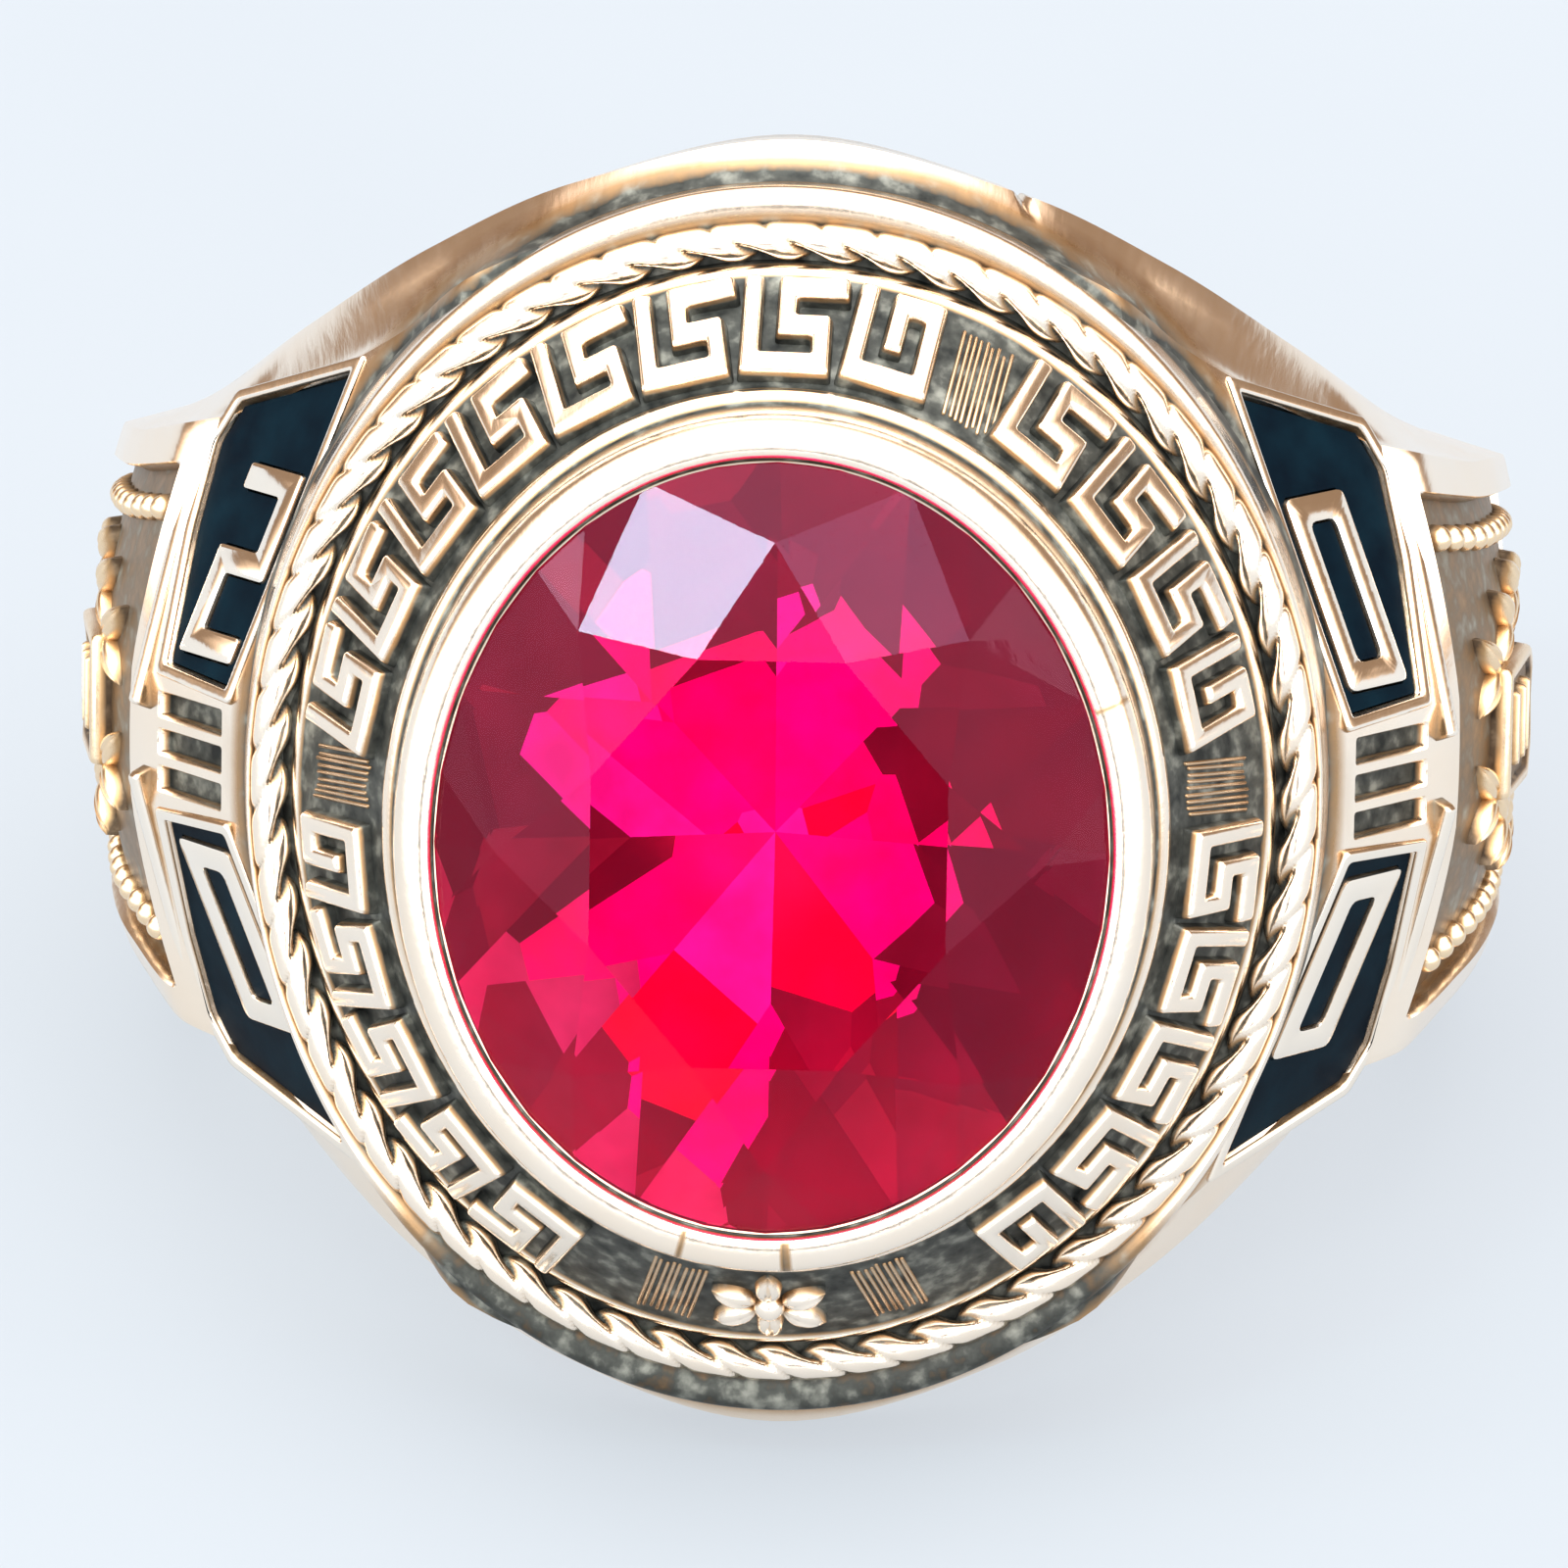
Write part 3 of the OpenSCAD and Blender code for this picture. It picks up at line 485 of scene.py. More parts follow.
BEZEL_PROFILE = [
    # offset from the opening, height over the axis, dirt
    (-0.10, GIRDLE_Y - 0.35, 1.0),
    (-0.02, GIRDLE_Y + 0.02, 1.0),
    (0.00, TOP_Y - 0.20, 0.8),
    (0.025, TOP_Y - 0.145, 0.1),
    (0.055, TOP_Y - 0.135, 0.2),
    (0.075, TOP_Y - 0.160, 1.0),
    (0.095, TOP_Y - 0.150, 1.0),
    (0.110, TOP_Y - 0.080, 0.3),
    (0.145, TOP_Y - 0.030, 0.0),
    (0.20, TOP_Y - 0.004, 0.0),
    (0.28, TOP_Y, 0.0),
    (0.36, TOP_Y - 0.006, 0.0),
    (0.44, TOP_Y - 0.025, 0.0),
    (0.52, TOP_Y - 0.060, 0.0),
    (0.59, TOP_Y - 0.115, 0.0),
    (0.65, TOP_Y - 0.190, 0.0),
    (0.695, TOP_Y - 0.290, 0.0),
    (0.725, TOP_Y - 0.410, 0.0),
    (0.738, TOP_Y - 0.550, 0.0),
    (0.740, TOP_Y - 0.760, 0.0),
    (0.740, TOP_Y - 0.960, 0.1),
    (0.740, TOP_Y - 1.060, 0.6),
]
GROOVE_PROFILE = [
    # offset from the cone's foot, height over the ledge, dirt
    (0.0, -0.07, 1.0),
    (0.12, -0.12, 1.0),
    (0.45, -0.12, 1.0),
    (CORD_D - 0.02, -0.06, 0.8),
]
LEDGE_PROFILE = [
    # share of the ledge's width, height over the ledge, dirt
    (0.30, 0.00, 0.25),
    (0.60, 0.01, 0.0),
    (0.80, -0.03, 0.0),
    (0.92, -0.09, 0.0),
    (0.98, -0.17, 0.0),
    (1.0, -0.26, 0.0),
]
LEDGE_EDGE, SKIRT_H, SKIRT_SIDE, SKIRT_END = 0.26, 1.5, 0.15, -0.10
HEAD_STEPS, CONE_STEPS, SKIRT_STEPS = 480, 44, 8
# Small dark nicks in the bezel's polished edge: the step round the head, and how dark.
NICKS = {235: 0.55, 236: 0.7, 258: 0.6, 91: 0.45}
NICKED_ROWS = range(9, 17)


def head_shell():
    """Bezel, cone under the ornament, groove for the cord, ledge and the skirt below it."""
    rows = [(s, s, h, 0.0, d) for s, h, d in BEZEL_PROFILE]
    for k in range(CONE_STEPS + 1):
        u = 0.02 + 0.97 * k / CONE_STEPS
        lift = cone_lift(u)
        rows.append((*cone_row(u, lift), 1.0 - min(1.0, lift / CLEAN_LIFT)))
    foot = BEZEL_W + CONE_W
    for off, height, patina_and_shade in GROOVE_PROFILE:
        rows.append((foot + off, foot + off, LEDGE_Y + height, 1.0, patina_and_shade))
    ledge_row = len(rows)
    for share, height, patina_and_shade in LEDGE_PROFILE:
        rows.append((CORD_OUT + SIDE_LEDGE * share, CORD_OUT + LEDGE_W * share, LEDGE_Y + height, 1.0, patina_and_shade))
    # the skirt darkens down its height: patina, and painted shade under the ledge
    for k in range(1, SKIRT_STEPS + 1):
        s = k / SKIRT_STEPS
        rows.append((CORD_OUT + SIDE_LEDGE + SKIRT_SIDE * s, CORD_OUT + LEDGE_W + SKIRT_END * s,
                     LEDGE_Y - LEDGE_EDGE - (SKIRT_H - LEDGE_EDGE) * s, 1.0,
                     0.9 * smooth((s - 0.25) / 0.4)))
    # the last row turns in under the skirt
    rows.append((CORD_OUT - 0.6, CORD_OUT - 0.6, LEDGE_Y - 1.9, 0.8, 1.0))
    points, patina_and_shade = [], []
    for i in range(HEAD_STEPS):
        t = 360 * i / HEAD_STEPS
        # the ledge and skirt are blackened at the lower end beside the rosette: painted shade
        black = 0.85 * smooth((-cos(t) - 0.62) / 0.2)
        for k, row in enumerate(rows):
            points.append(oval(t, *row[:4]))
            end_shade = black if k >= ledge_row else 0.0
            nick = NICKS.get(i, 0.0) if k in NICKED_ROWS else 0.0
            patina_and_shade.append(max(row[4], end_shade, nick))
    return piece("head", points, grid_faces(HEAD_STEPS, len(rows)), CAST, 42, patina_and_shade=patina_and_shade)


STRAND_STEPS, CORD_STEPS = 18, 28
STRAND_SLANT = 0.48


def cord():
    """Twisted cord: each strand passes over from the outer side to notches on the inner side."""
    count = CORD_STRANDS * STRAND_STEPS
    radius = CORD_D / 2 + 0.01
    points, patina_and_shade = [], []
    for i in range(count):
        for j in range(CORD_STEPS):
            angle = -50 + 280 * j / (CORD_STEPS - 1)
            turn = i / STRAND_STEPS - STRAND_SLANT * cos(angle)
            phase = turn - math.floor(turn)
            inner = smooth(cos(angle) + 0.35)
            valley = abs(2 * phase - 1) ** (6.0 - 3.6 * inner)
            r = radius - (0.07 + 0.15 * inner) * valley
            off = CORD_OFF - r * cos(angle)
            points.append(oval(360 * i / count, off, off, LEDGE_Y - 0.03 + r * sin(angle), 1.0))
            foot = 0.6 if angle < 6 or angle > 178 else 0.0
            patina_and_shade.append(clamp(valley * (0.45 + 1.3 * inner) - 0.30 + foot))
    return piece("twisted_cord", points, grid_faces(count, CORD_STEPS), CAST, None, patina_and_shade=patina_and_shade)


# ---- raised flat shapes with rounded corners and edges ----
def rounded(outline, radius, steps=3):
    out = []
    n = len(outline)
    for i in range(n):
        p, q, r = (Vector(outline[k % n]) for k in (i - 1, i, i + 1))
        a, b = (p - q), (r - q)
        cut = min(radius, a.length * 0.45, b.length * 0.45)
        a, b = q + unit(a) * cut, q + unit(b) * cut
        for k in range(steps + 1):
            s = k / steps
            out.append(tuple((1 - s) ** 2 * a + 2 * s * (1 - s) * q + s**2 * b))
    return out


def moved_out(outline, d):
    """The outline moved out by d, corner by corner, whichever way round it runs."""
    n = len(outline)
    area = sum(outline[i - 1][0] * outline[i][1] - outline[i][0] * outline[i - 1][1] for i in range(n))
    sign = 1 if area > 0 else -1
    out = []
    for i in range(n):
        p, q, r = (Vector(outline[k % n]) for k in (i - 1, i, i + 1))
        e, f = (q - p), (r - q)
        e, f = (unit((v.y, -v.x)) * sign for v in (e, f))
        out.append(tuple(q + (e + f) * d / max(0.3, 1 + e.dot(f))))
    return out


def raised(outline, levels, hole=None, radius=0.1, steps=3):
    """Rounded rings of an outline at (height, growth, dirt) levels, from the ground to the top face."""
    points, faces, patina_and_shade = [], [], []
    loops = [outline] + ([hole] if hole else [])
    starts = []
    for loop, sign in zip(loops, (1, -1)):
        first = len(points)
        n = len(rounded(loop, radius, steps))
        for height, grow, soil in levels:
            points += [(x, y, height) for x, y in rounded(moved_out(loop, grow * sign), radius, steps)]
            patina_and_shade += [soil] * n
        for k in range(len(levels) - 1):
            low, high = first + k * n, first + (k + 1) * n
            for i in range(n):
                j = (i + 1) % n
                faces.append((low + i, low + j, high + j, high + i))
        starts.append((first + (len(levels) - 1) * n, n))
    if not hole:
        s, n = starts[0]
        faces.append(tuple(range(s, s + n)))
    else:
        (s, n), (t, m) = starts
        for i in range(n):
            j = (i + 1) % n
            faces.append((s + i, s + j, t + j % m, t + i % m))
    return points, faces, patina_and_shade


def prism(outline, levels, radius):
    """A closed solid from an outline at (height, growth, dirt) levels."""
    points, faces, patina_and_shade = raised(outline, levels, None, radius, 2)
    n = len(rounded(outline, radius, 2))
    faces.append(tuple(range(n - 1, -1, -1)))
    return points, faces, patina_and_shade


def joined(parts):
    points, faces, patina_and_shade = [], [], []
    for p, f, d in parts:
        base = len(points)
        points += p
        faces += [tuple(base + k for k in face) for face in f]
        patina_and_shade += d
    return points, faces, patina_and_shade


def placed(part, place):
    points, faces, patina_and_shade = part
    return [place(p) for p in points], faces, patina_and_shade


def joined_piece(name, parts, material, angle):
    points, faces, patina_and_shade = joined(parts)
    return piece(name, points, faces, material, angle, patina_and_shade=patina_and_shade)


# ---- key pattern and rosette ----
# Corners of a key, and of the last key of a run, in stroke widths and row heights.
KEY = [(0, 0), (0, 5), (5, 5), (5, 2), (3, 2), (3, 1), (5.9, 1), (5.9, 0), (2, 0), (2, 3), (4, 3), (4, 4),
       (1, 4), (1, 0)]
KEY_END = [(0, 0), (0, 5), (5, 5), (5, 0), (2, 0), (2, 3), (3, 3), (3, 1), (4, 1), (4, 4), (1, 4), (1, 0)]
KEY_MIDDLE = (2.9, 2.5)
KEY_LEVELS = [
    # height, growth, dirt
    (-0.16, 0.05, 1.0),
    (RELIEF_H * 0.25, 0.035, 1.0),
    (RELIEF_H * 0.62, 0.012, 0.45),
    (RELIEF_H - 0.05, -0.004, 0.0),
    (RELIEF_H - 0.015, -0.03, 0.0),
    (RELIEF_H, -0.07, 0.0),
]
MID_A = OPEN_A + BEZEL_W + CONE_W / 2
MID_B = OPEN_B + BEZEL_W + CONE_W / 2
RUN_GAP = 8.5
STREAK_LEVELS = [(-0.16, 0.02, 0.9), (0.015, 0.004, 0.6), (0.03, -0.012, 0.32)]
STREAK_HALF, STREAK_PITCH = 0.026, 0.105
# The angles of the streaks on either side of the rosette.
STREAKS_RIGHT, STREAKS_LEFT = 164.0, -167.0


def pitch_angle(t):
    return 6 * STROKE_W / (math.hypot(MID_A * cos(t), MID_B * sin(t)) * math.pi / 180)


def key_angle(start, k):
    if k == 0:
        return start + pitch_angle(start) / 2
    before = key_angle(start, k - 1)
    return before + pitch_angle(before)


def run_end(start, count):
    last = key_angle(start, count - 1)
    return last + pitch_angle(last) / 2


def on_cone(t):
    """The cone's own plane at angle t: x round the stone, y up to the bezel, z out of the cone."""
    here = Vector(cone(t, 0.5, 0))
    around = unit(Vector(cone(t + 1, 0.5, 0)) - Vector(cone(t - 1, 0.5, 0)))
    up = unit(Vector(cone(t, 0.1, 0)) - Vector(cone(t, 0.9, 0)))
    across = unit(up - up.dot(around) * around)
    out = across.cross(around)
    return lambda p: tuple(here + around * p[0] + across * p[1] + out * p[2])


def streaks(t, lean):
    """Nine fine uneven lines in a gap of the key pattern."""
    parts = []
    w = STREAK_HALF
    for k in range(-4, 5):
        x = k * STREAK_PITCH + random.uniform(-0.012, 0.012)
        half = 0.95 + random.uniform(-0.12, 0.02)
        outline = [(x - w - lean, -half), (x + w - lean, -half), (x + w + lean, half), (x - w + lean, half)]
        parts.append(placed(raised(outline, STREAK_LEVELS, None, 0.02, 1), on_cone(t)))
    return parts


def key_band():
    short_keys = TOP_KEYS // 3
    long_keys = TOP_KEYS - short_keys
    long_start = -run_end(RUN_GAP / 2, (TOP_KEYS + 1) // 2)
    short_start = run_end(long_start, long_keys) + RUN_GAP
    right_start = run_end(short_start, short_keys) + RUN_GAP
    left_start = -run_end(RUN_GAP - long_start, SIDE_KEYS)
    runs = [
        (long_start, long_keys),
        (short_start, short_keys),
        (right_start, SIDE_KEYS),
        (left_start, SIDE_KEYS),
    ]
    parts = []
    for start, count in runs:
        for k in range(count):
            shape = KEY if k < count - 1 else KEY_END
            outline = [((x - KEY_MIDDLE[0]) * STROKE_W, (y - KEY_MIDDLE[1]) * ROW_H) for x, y in shape]
            key = raised(outline[::-1], KEY_LEVELS, None, 0.07)
            parts.append(placed(key, on_cone(key_angle(start, k))))
    parts += streaks(short_start - RUN_GAP / 2, 0.10)
    parts += streaks(right_start - RUN_GAP / 2, -0.14)
    parts += streaks(long_start - RUN_GAP / 2, 0.12)
    parts += streaks(STREAKS_RIGHT, 0.05)
    parts += streaks(STREAKS_LEFT, -0.05)
    return joined_piece("key_pattern", parts, CAST, 55)


def leaf(length, width, height, vein=0.3, steps=14, across=8):
    """A pointed leaf lying along x, domed, with a fine vein along its middle."""
    points, patina_and_shade = [], []
    for i in range(steps + 1):
        s = i / steps
        half = width / 2 * (math.sin(math.pi * s) ** 0.7) * (1.15 - 0.3 * s)
        for j in range(across + 1):
            y = -1 + 2 * j / across
            rise = height * (1 - y * y) ** 0.5 * math.sin(math.pi * min(0.97, max(0.03, s))) ** 0.5
            rise -= vein * height * max(0.0, 1 - abs(y) * 3.2) * math.sin(math.pi * s)
            points.append(((s - 0.5) * length, half * y, rise - (0.12 if abs(y) > 0.99 else 0)))
            patina_and_shade.append(clamp(1.15 - rise / height * 1.9))
    return points, grid_faces(steps + 1, across + 1, False, False), patina_and_shade


def dome(radius, height, rings=8, around=24, low=-0.15):
    """A round button. Its edge is sunk to low, and its top point is a tiny ring."""
    points, patina_and_shade = [], []
    for i in range(rings + 1):
        a = 90 * i / rings
        r, h = max(radius * cos(a), 1e-4), height * sin(a)
        for j in range(around):
            points.append((r * cos(360 * j / around), r * sin(360 * j / around), h if i else low))
            patina_and_shade.append(clamp(0.9 - 1.8 * sin(a)))
    return points, grid_faces(rings + 1, around, False, True), patina_and_shade


PETALS, PETAL_L, PETAL_W, PETAL_OUT = 6, 0.84, 0.50, 0.64
ROSETTE_ANGLE, BUTTON_R, BUTTON_RISE = 180, 0.27, 0.04


def rosette():
    parts = []
    for i in range(PETALS):
        turn = 360 / PETALS * (i + 0.5)

        def place(p, turn=turn):
            x = p[0] + PETAL_OUT
            return (x * cos(turn) - p[1] * sin(turn), x * sin(turn) + p[1] * cos(turn), p[2])
        parts.append(placed(leaf(PETAL_L, PETAL_W, RELIEF_H * 0.95), place))
    parts.append(dome(BUTTON_R, RELIEF_H + BUTTON_RISE))
    on_ground = on_cone(ROSETTE_ANGLE)
    return joined_piece("rosette", [placed(part, on_ground) for part in parts], CAST, 50)


# ---- band and shoulders ----
# Outlines on a shoulder: x down the slope, y along the finger. Levels are height, growth and dirt.
FIELD = [(-1.82, -3.2), (0.02, -3.1), (0.42, -0.9), (0.52, 0.6), (0.2, 1.3), (-2.56, 2.25)]
FIELD_LEVELS = [(-FIELD_DEPTH, -0.02, 0), (-0.09, 0.0, 0), (0.0, 0.05, 0), (1.0, 0.05, 0)]
SLOT = [(-1.7, -0.2), (0.18, -0.2), (0.18, 0.2), (-1.7, 0.2)]
SLOT_LEVELS = [(-0.24, -0.03, 0), (-0.05, 0.0, 0), (0.0, 0.035, 0), (0.7, 0.035, 0)]
SLOT_PITCH = 0.62
# Where the band has a section, from the stone to the back: closer together where its form turns.
BAND_ANGLES = (
    spread([0, 8, 16, 20], 4) + spread([20.2, 22.2], 8) + spread([24, 30, 33.4], 4)
    + spread([34.2, 40, 47, FACE_END], 7)
    + spread([54.5, 56.5], 3) + [57.2, 57.75, 57.95, 58.15, 58.35, 58.55, 59]
    + spread([60, 96.6], 44) + [96.95, 97.15, 97.35, 97.55, 97.75, 98.2] + spread([99, 180], 72)
)
# Shares of the half-width at which a section has points, from the edge to the middle.
BAND_SHARES = [0.985, 0.96, 0.93, 0.90, 0.882, 0.875, 0.8675, 0.86, 0.8525, 0.845, 0.82, 0.78,
               0.72, 0.66, 0.6, 0.52, 0.44, 0.36, 0.28, 0.21, 0.14, 0.07, 0.0]
FLANK_STEPS, BORE_STEPS = 12, 8
NICK_ANGLE, SMALL_NICK_ANGLE = 21.3, 20.6


def on_face(side, end):
    """A numeral face's own plane: x down the slope, y along the finger, z out of the face."""
    turn = (Matrix.Rotation(math.radians(FACE_SLOPE), 4, "Z")
            @ Matrix.Rotation(math.radians(90 - FACE_TILT), 4, "X"))

    def place(p):
        q = turn @ Vector((p[0], p[1], p[2] + FACE_D))
        return (q.x * side, q.y, q.z * end)
    return place


def between_faces(side, shift):
    """The block between two numeral faces: x down the slope, y along the finger, z out."""
    radius = numeral_r(FACE_SLOPE, 0)

    def place(p):
        out = p[2] + radius
        x = p[0] * cos(FACE_SLOPE) + out * sin(FACE_SLOPE)
        y = p[0] * sin(FACE_SLOPE) - out * cos(FACE_SLOPE)
        return (x * side, y, p[1] + shift)
    return place


def recess(angle, share):
    """How far the side field is sunk, at an angle and a share of the half-width."""
    along = smooth((angle - FIELD_START - 0.25) / 0.8) * smooth((FIELD_END - 0.25 - angle) / 0.8)
    across = smooth((0.875 - share) / 0.03)
    return along * across


def band_side(angle):
    """Half of a section, as (radius, z) from the finger hole's edge over the flank to the middle."""
    rim, edge = rim_half(angle), face_half(angle)
    rows = [(BORE_R, rim - 0.14), (BORE_R + 0.04, rim - 0.05), (BORE_R + 0.13, rim),
            (BORE_R + (RIM_R - BORE_R) * 0.6, rim), (RIM_R - 0.06, rim)]
    # the round back is taken in a little, to stay within the CAD's flats
    spare = 0.075 * smooth((angle - 110) / 50)
    top = outer_r(angle, edge) - spare
    power = section(angle, COVE)
    for k in range(1, FLANK_STEPS + 1):
        s = k / FLANK_STEPS
        if k == FLANK_STEPS:
            s -= 0.15 / FLANK_STEPS
        rows.append((RIM_R + (top - RIM_R) * s, rim + (edge - rim) * (1 - (1 - s) ** power)))
    for share in BAND_SHARES:
        sunk = SIDE_DEPTH * recess(angle, share) + spare
        rows.append((outer_r(angle, edge * share) - sunk, edge * share))
    return rows


def nick_depth(angle):
    """A dent in the rim with a smaller one beside it."""
    return (0.16 * math.exp(-((angle - NICK_ANGLE) / 0.45) ** 2)
            + 0.05 * math.exp(-((angle - SMALL_NICK_ANGLE) / 0.3) ** 2))


def band_mesh():
    rings = []
    for a in BAND_ANGLES + [360 - a for a in BAND_ANGLES[-2:0:-1]]:
        side = band_side(min(a, 360 - a))
        nick = nick_depth(a)
        top = [(r, z - nick * smooth((z - rim_half(NICK_ANGLE) + 0.35) / 0.3)) for r, z in side]
        full = top + [(r, -z) for r, z in reversed(side[:-1])]
        edge = side[0][1]
        inner = [(BORE_R, z) for z in spread([-edge, edge], BORE_STEPS)[1:-1]]
        rings.append([(r * sin(a), -r * cos(a), z) for r, z in full + inner])
    points = [p for ring in rings for p in ring]
    return points, grid_faces(len(rings), len(rings[0]), True, True)


def sunk_solids():
    """What is cut out of the band: the four numeral fields, and three slots between each two."""
    solids = []
    for side in (-1, 1):
        for end in (-1, 1):
            solids.append(placed(prism(FIELD, FIELD_LEVELS, 0.1), on_face(side, end)))
        for k in (-1, 0, 1):
            solids.append(placed(prism(SLOT, SLOT_LEVELS, 0.06), between_faces(side, k * SLOT_PITCH)))
    return solids


def band():
    points, faces = band_mesh()
    obj = piece("band", points, faces, CAST, 30)
    points, faces, _ = joined(sunk_solids())
    tool = linked("field_cutter", rest_mesh("field_cutter", points, faces))
    cut = obj.modifiers.new("fields", "BOOLEAN")
    cut.operation = "DIFFERENCE"
    cut.solver = "EXACT"
    cut.object = tool
    bpy.context.view_layer.update()
    mesh = bpy.data.meshes.new_from_object(obj.evaluated_get(bpy.context.evaluated_depsgraph_get()))
    obj.modifiers.clear()
    obj.data = mesh
    bpy.data.objects.remove(tool)
    blacken(mesh)
    finish_mesh(mesh, CAST, 30)
    return obj


def blacken(mesh):
    """Patina on the floors of the sunken fields and slots. In the groove between shoulder and cord, patina
    and painted shade under the ledge.
    """
    layer = mesh.attributes.new("patina_and_shade", "FLOAT", "POINT")
    values = []
    for vertex in mesh.vertices:
        p = upright(vertex.co)
        x, y, z = abs(p.x), p.y, abs(p.z)
        r, angle = math.hypot(x, y), math.degrees(math.atan2(x, -y))
        patina_and_shade = 0.0
        if r > BORE_R + 0.5:
            if FIELD_START < angle < FIELD_END and z < face_half(angle) * 0.87:
                patina_and_shade = clamp((outer_r(angle, z) - r) / SIDE_DEPTH * 0.85 - 0.15)
            elif FACE_START + 2 < angle < FACE_END + BLEND_RUN and z < face_half(angle):
                patina_and_shade = clamp((numeral_r(angle, z) - r) / 0.2 - 0.25)
            # under the ledge: patina in the groove, and painted shade
            reach = math.hypot(x / (OPEN_A + CORD_OUT + SIDE_LEDGE), z / (OPEN_B + CORD_OUT + LEDGE_W))
            if angle < FACE_END + BLEND_RUN:
                patina_and_shade = max(patina_and_shade, clamp((1.045 - reach) / 0.045))
        values.append(patina_and_shade)
    layer.data.foreach_set("value", values)


FRAME_LEVELS = [
    # height, growth, dirt
    (-0.25, 0.03, 0.9),
    (-0.02, 0.015, 0.5),
    (0.035, 0.0, 0.0),
    (0.055, -0.02, 0.0),
    (0.06, -0.05, 0.0),
]
FRAME_IN, FRAME_OUT = 0.05, 0.24
BAR = [(0.42, -3.9), (0.66, -3.9), (1.08, 0.8), (0.84, 0.8)]
BAR_LEVELS = [
    # height, growth, dirt
    (-0.4, 0.03, 0.9),
    (0.0, 0.015, 0.5),
    (0.08, 0.0, 0.0),
    (0.11, -0.02, 0.0),
    (0.12, -0.06, 0.0),
]


def frames_and_bars():
    """Raised frames round the numeral fields, and a strip between each field and the side field."""
    parts = []
    for side in (-1, 1):
        for end in (-1, 1):
            place = on_face(side, end)
            ring = raised(moved_out(FIELD, FRAME_OUT), FRAME_LEVELS, moved_out(FIELD, FRAME_IN))
            parts.append(placed(ring, place))
            parts.append(placed(raised(BAR, BAR_LEVELS, None, 0.06), place))
    return joined_piece("field_frames", parts, POLISHED, 50)


def numerals():
    w, h, s = DIGIT_W, DIGIT_H, DIGIT_STROKE
    m = h / 2
    two = [(0, 0), (w, 0), (w, s), (s, s), (s, m - s / 2), (w, m - s / 2), (w, h), (0, h), (0, h - s),
           (w - s, h - s), (w - s, m + s / 2), (0, m + s / 2)]
    zero = [(0, 0), (w, 0), (w, h), (0, h)]
    hole = [(s, s), (w - s, s), (w - s, h - s), (s, h - s)]
    levels = [(-FIELD_DEPTH - 0.05, 0.01, 0.9), (-0.07, 0.0, 0.3), (-0.02, -0.012, 0.0), (0.0, -0.045, 0.0)]
    parts = []
    for side, end in ((-1, 1), (-1, -1), (1, 1), (1, -1)):
        is_two = (side, end) == (-1, 1)
        solid = raised(two, levels, None, 0.08) if is_two else raised(zero, levels, hole, 0.16)
        face = on_face(side, end)

        def place(p, face=face, is_two=is_two):
            x = (w - p[0] if is_two else p[0]) - w / 2
            return face((DIGIT_MID + x + DIGIT_LEAN * p[1], DIGIT_LOW + p[1], p[2]))
        parts.append(placed(solid, place))
    return joined_piece("numerals", parts, POLISHED, 45)


# ---- side relief ----
SHIELD_ANGLE = 77
SHIELD = [(-1.7, -1.1), (-1.7, 1.1), (0.5, 1.15), (1.4, 0.75), (2.0, 0), (1.4, -0.75), (0.5, -1.15)]
SHIELD_LEVELS = [
    # height, growth, dirt
    (-0.2, 0.04, 1.0),
    (0.12, 0.02, 0.8),
    (0.30, 0.0, 0.0),
    (0.36, -0.03, 0.0),
    (0.38, -0.07, 0.0),
    (0.37, -0.16, 0.0),
    (0.33, -0.21, 0.7),
    (0.26, -0.24, 1.0),
    (0.25, -0.30, 0.7),
]
BARS, BAR_PITCH, BAR_W, BAR_HALF = 3, 0.62, 0.2, 0.62
SHIELD_BAR_LEVELS = [(0.1, 0.03, 1.0), (0.3, 0.0, 0.3), (0.35, -0.03, 0.0)]
LEAF_PAIRS, LEAF_START, LEAF_STEP = 5, 91, 5.6
BEADS, BEAD_START, BEAD_STEP, BEAD_SHARE = 13, 61.2, 2.85, 0.72
BEAD_R, BEAD_H = 0.23, 0.27


def side_point(angle, z, h):
    """A point of the side field, h over its ground."""
    r = outer_r(angle, z) - SIDE_DEPTH + h
    return Vector((r * sin(angle), -r * cos(angle), z))


def shield():
    """A plain shield with three bars."""
    base = outer_r(SHIELD_ANGLE, 0) - SIDE_DEPTH

    def on_side(p):
        """x round the finger away from the stone, y along the finger, z out."""
        angle = SHIELD_ANGLE + math.degrees(p[0] / base)
        r = outer_r(min(max(angle, 60), 97), p[1]) - SIDE_DEPTH + p[2]
        return (r * sin(angle), -r * cos(angle), p[1])

    shapes = [raised(SHIELD, SHIELD_LEVELS, None, 0.12)]
    for k in range(BARS):
        x = -1.1 + BAR_PITCH * k
        bar = [(x, -BAR_HALF), (x + BAR_W, -BAR_HALF), (x + BAR_W, BAR_HALF), (x, BAR_HALF)]
        shapes.append(raised(bar, SHIELD_BAR_LEVELS, None, 0.08))
    return [placed(shape, on_side) for shape in shapes]


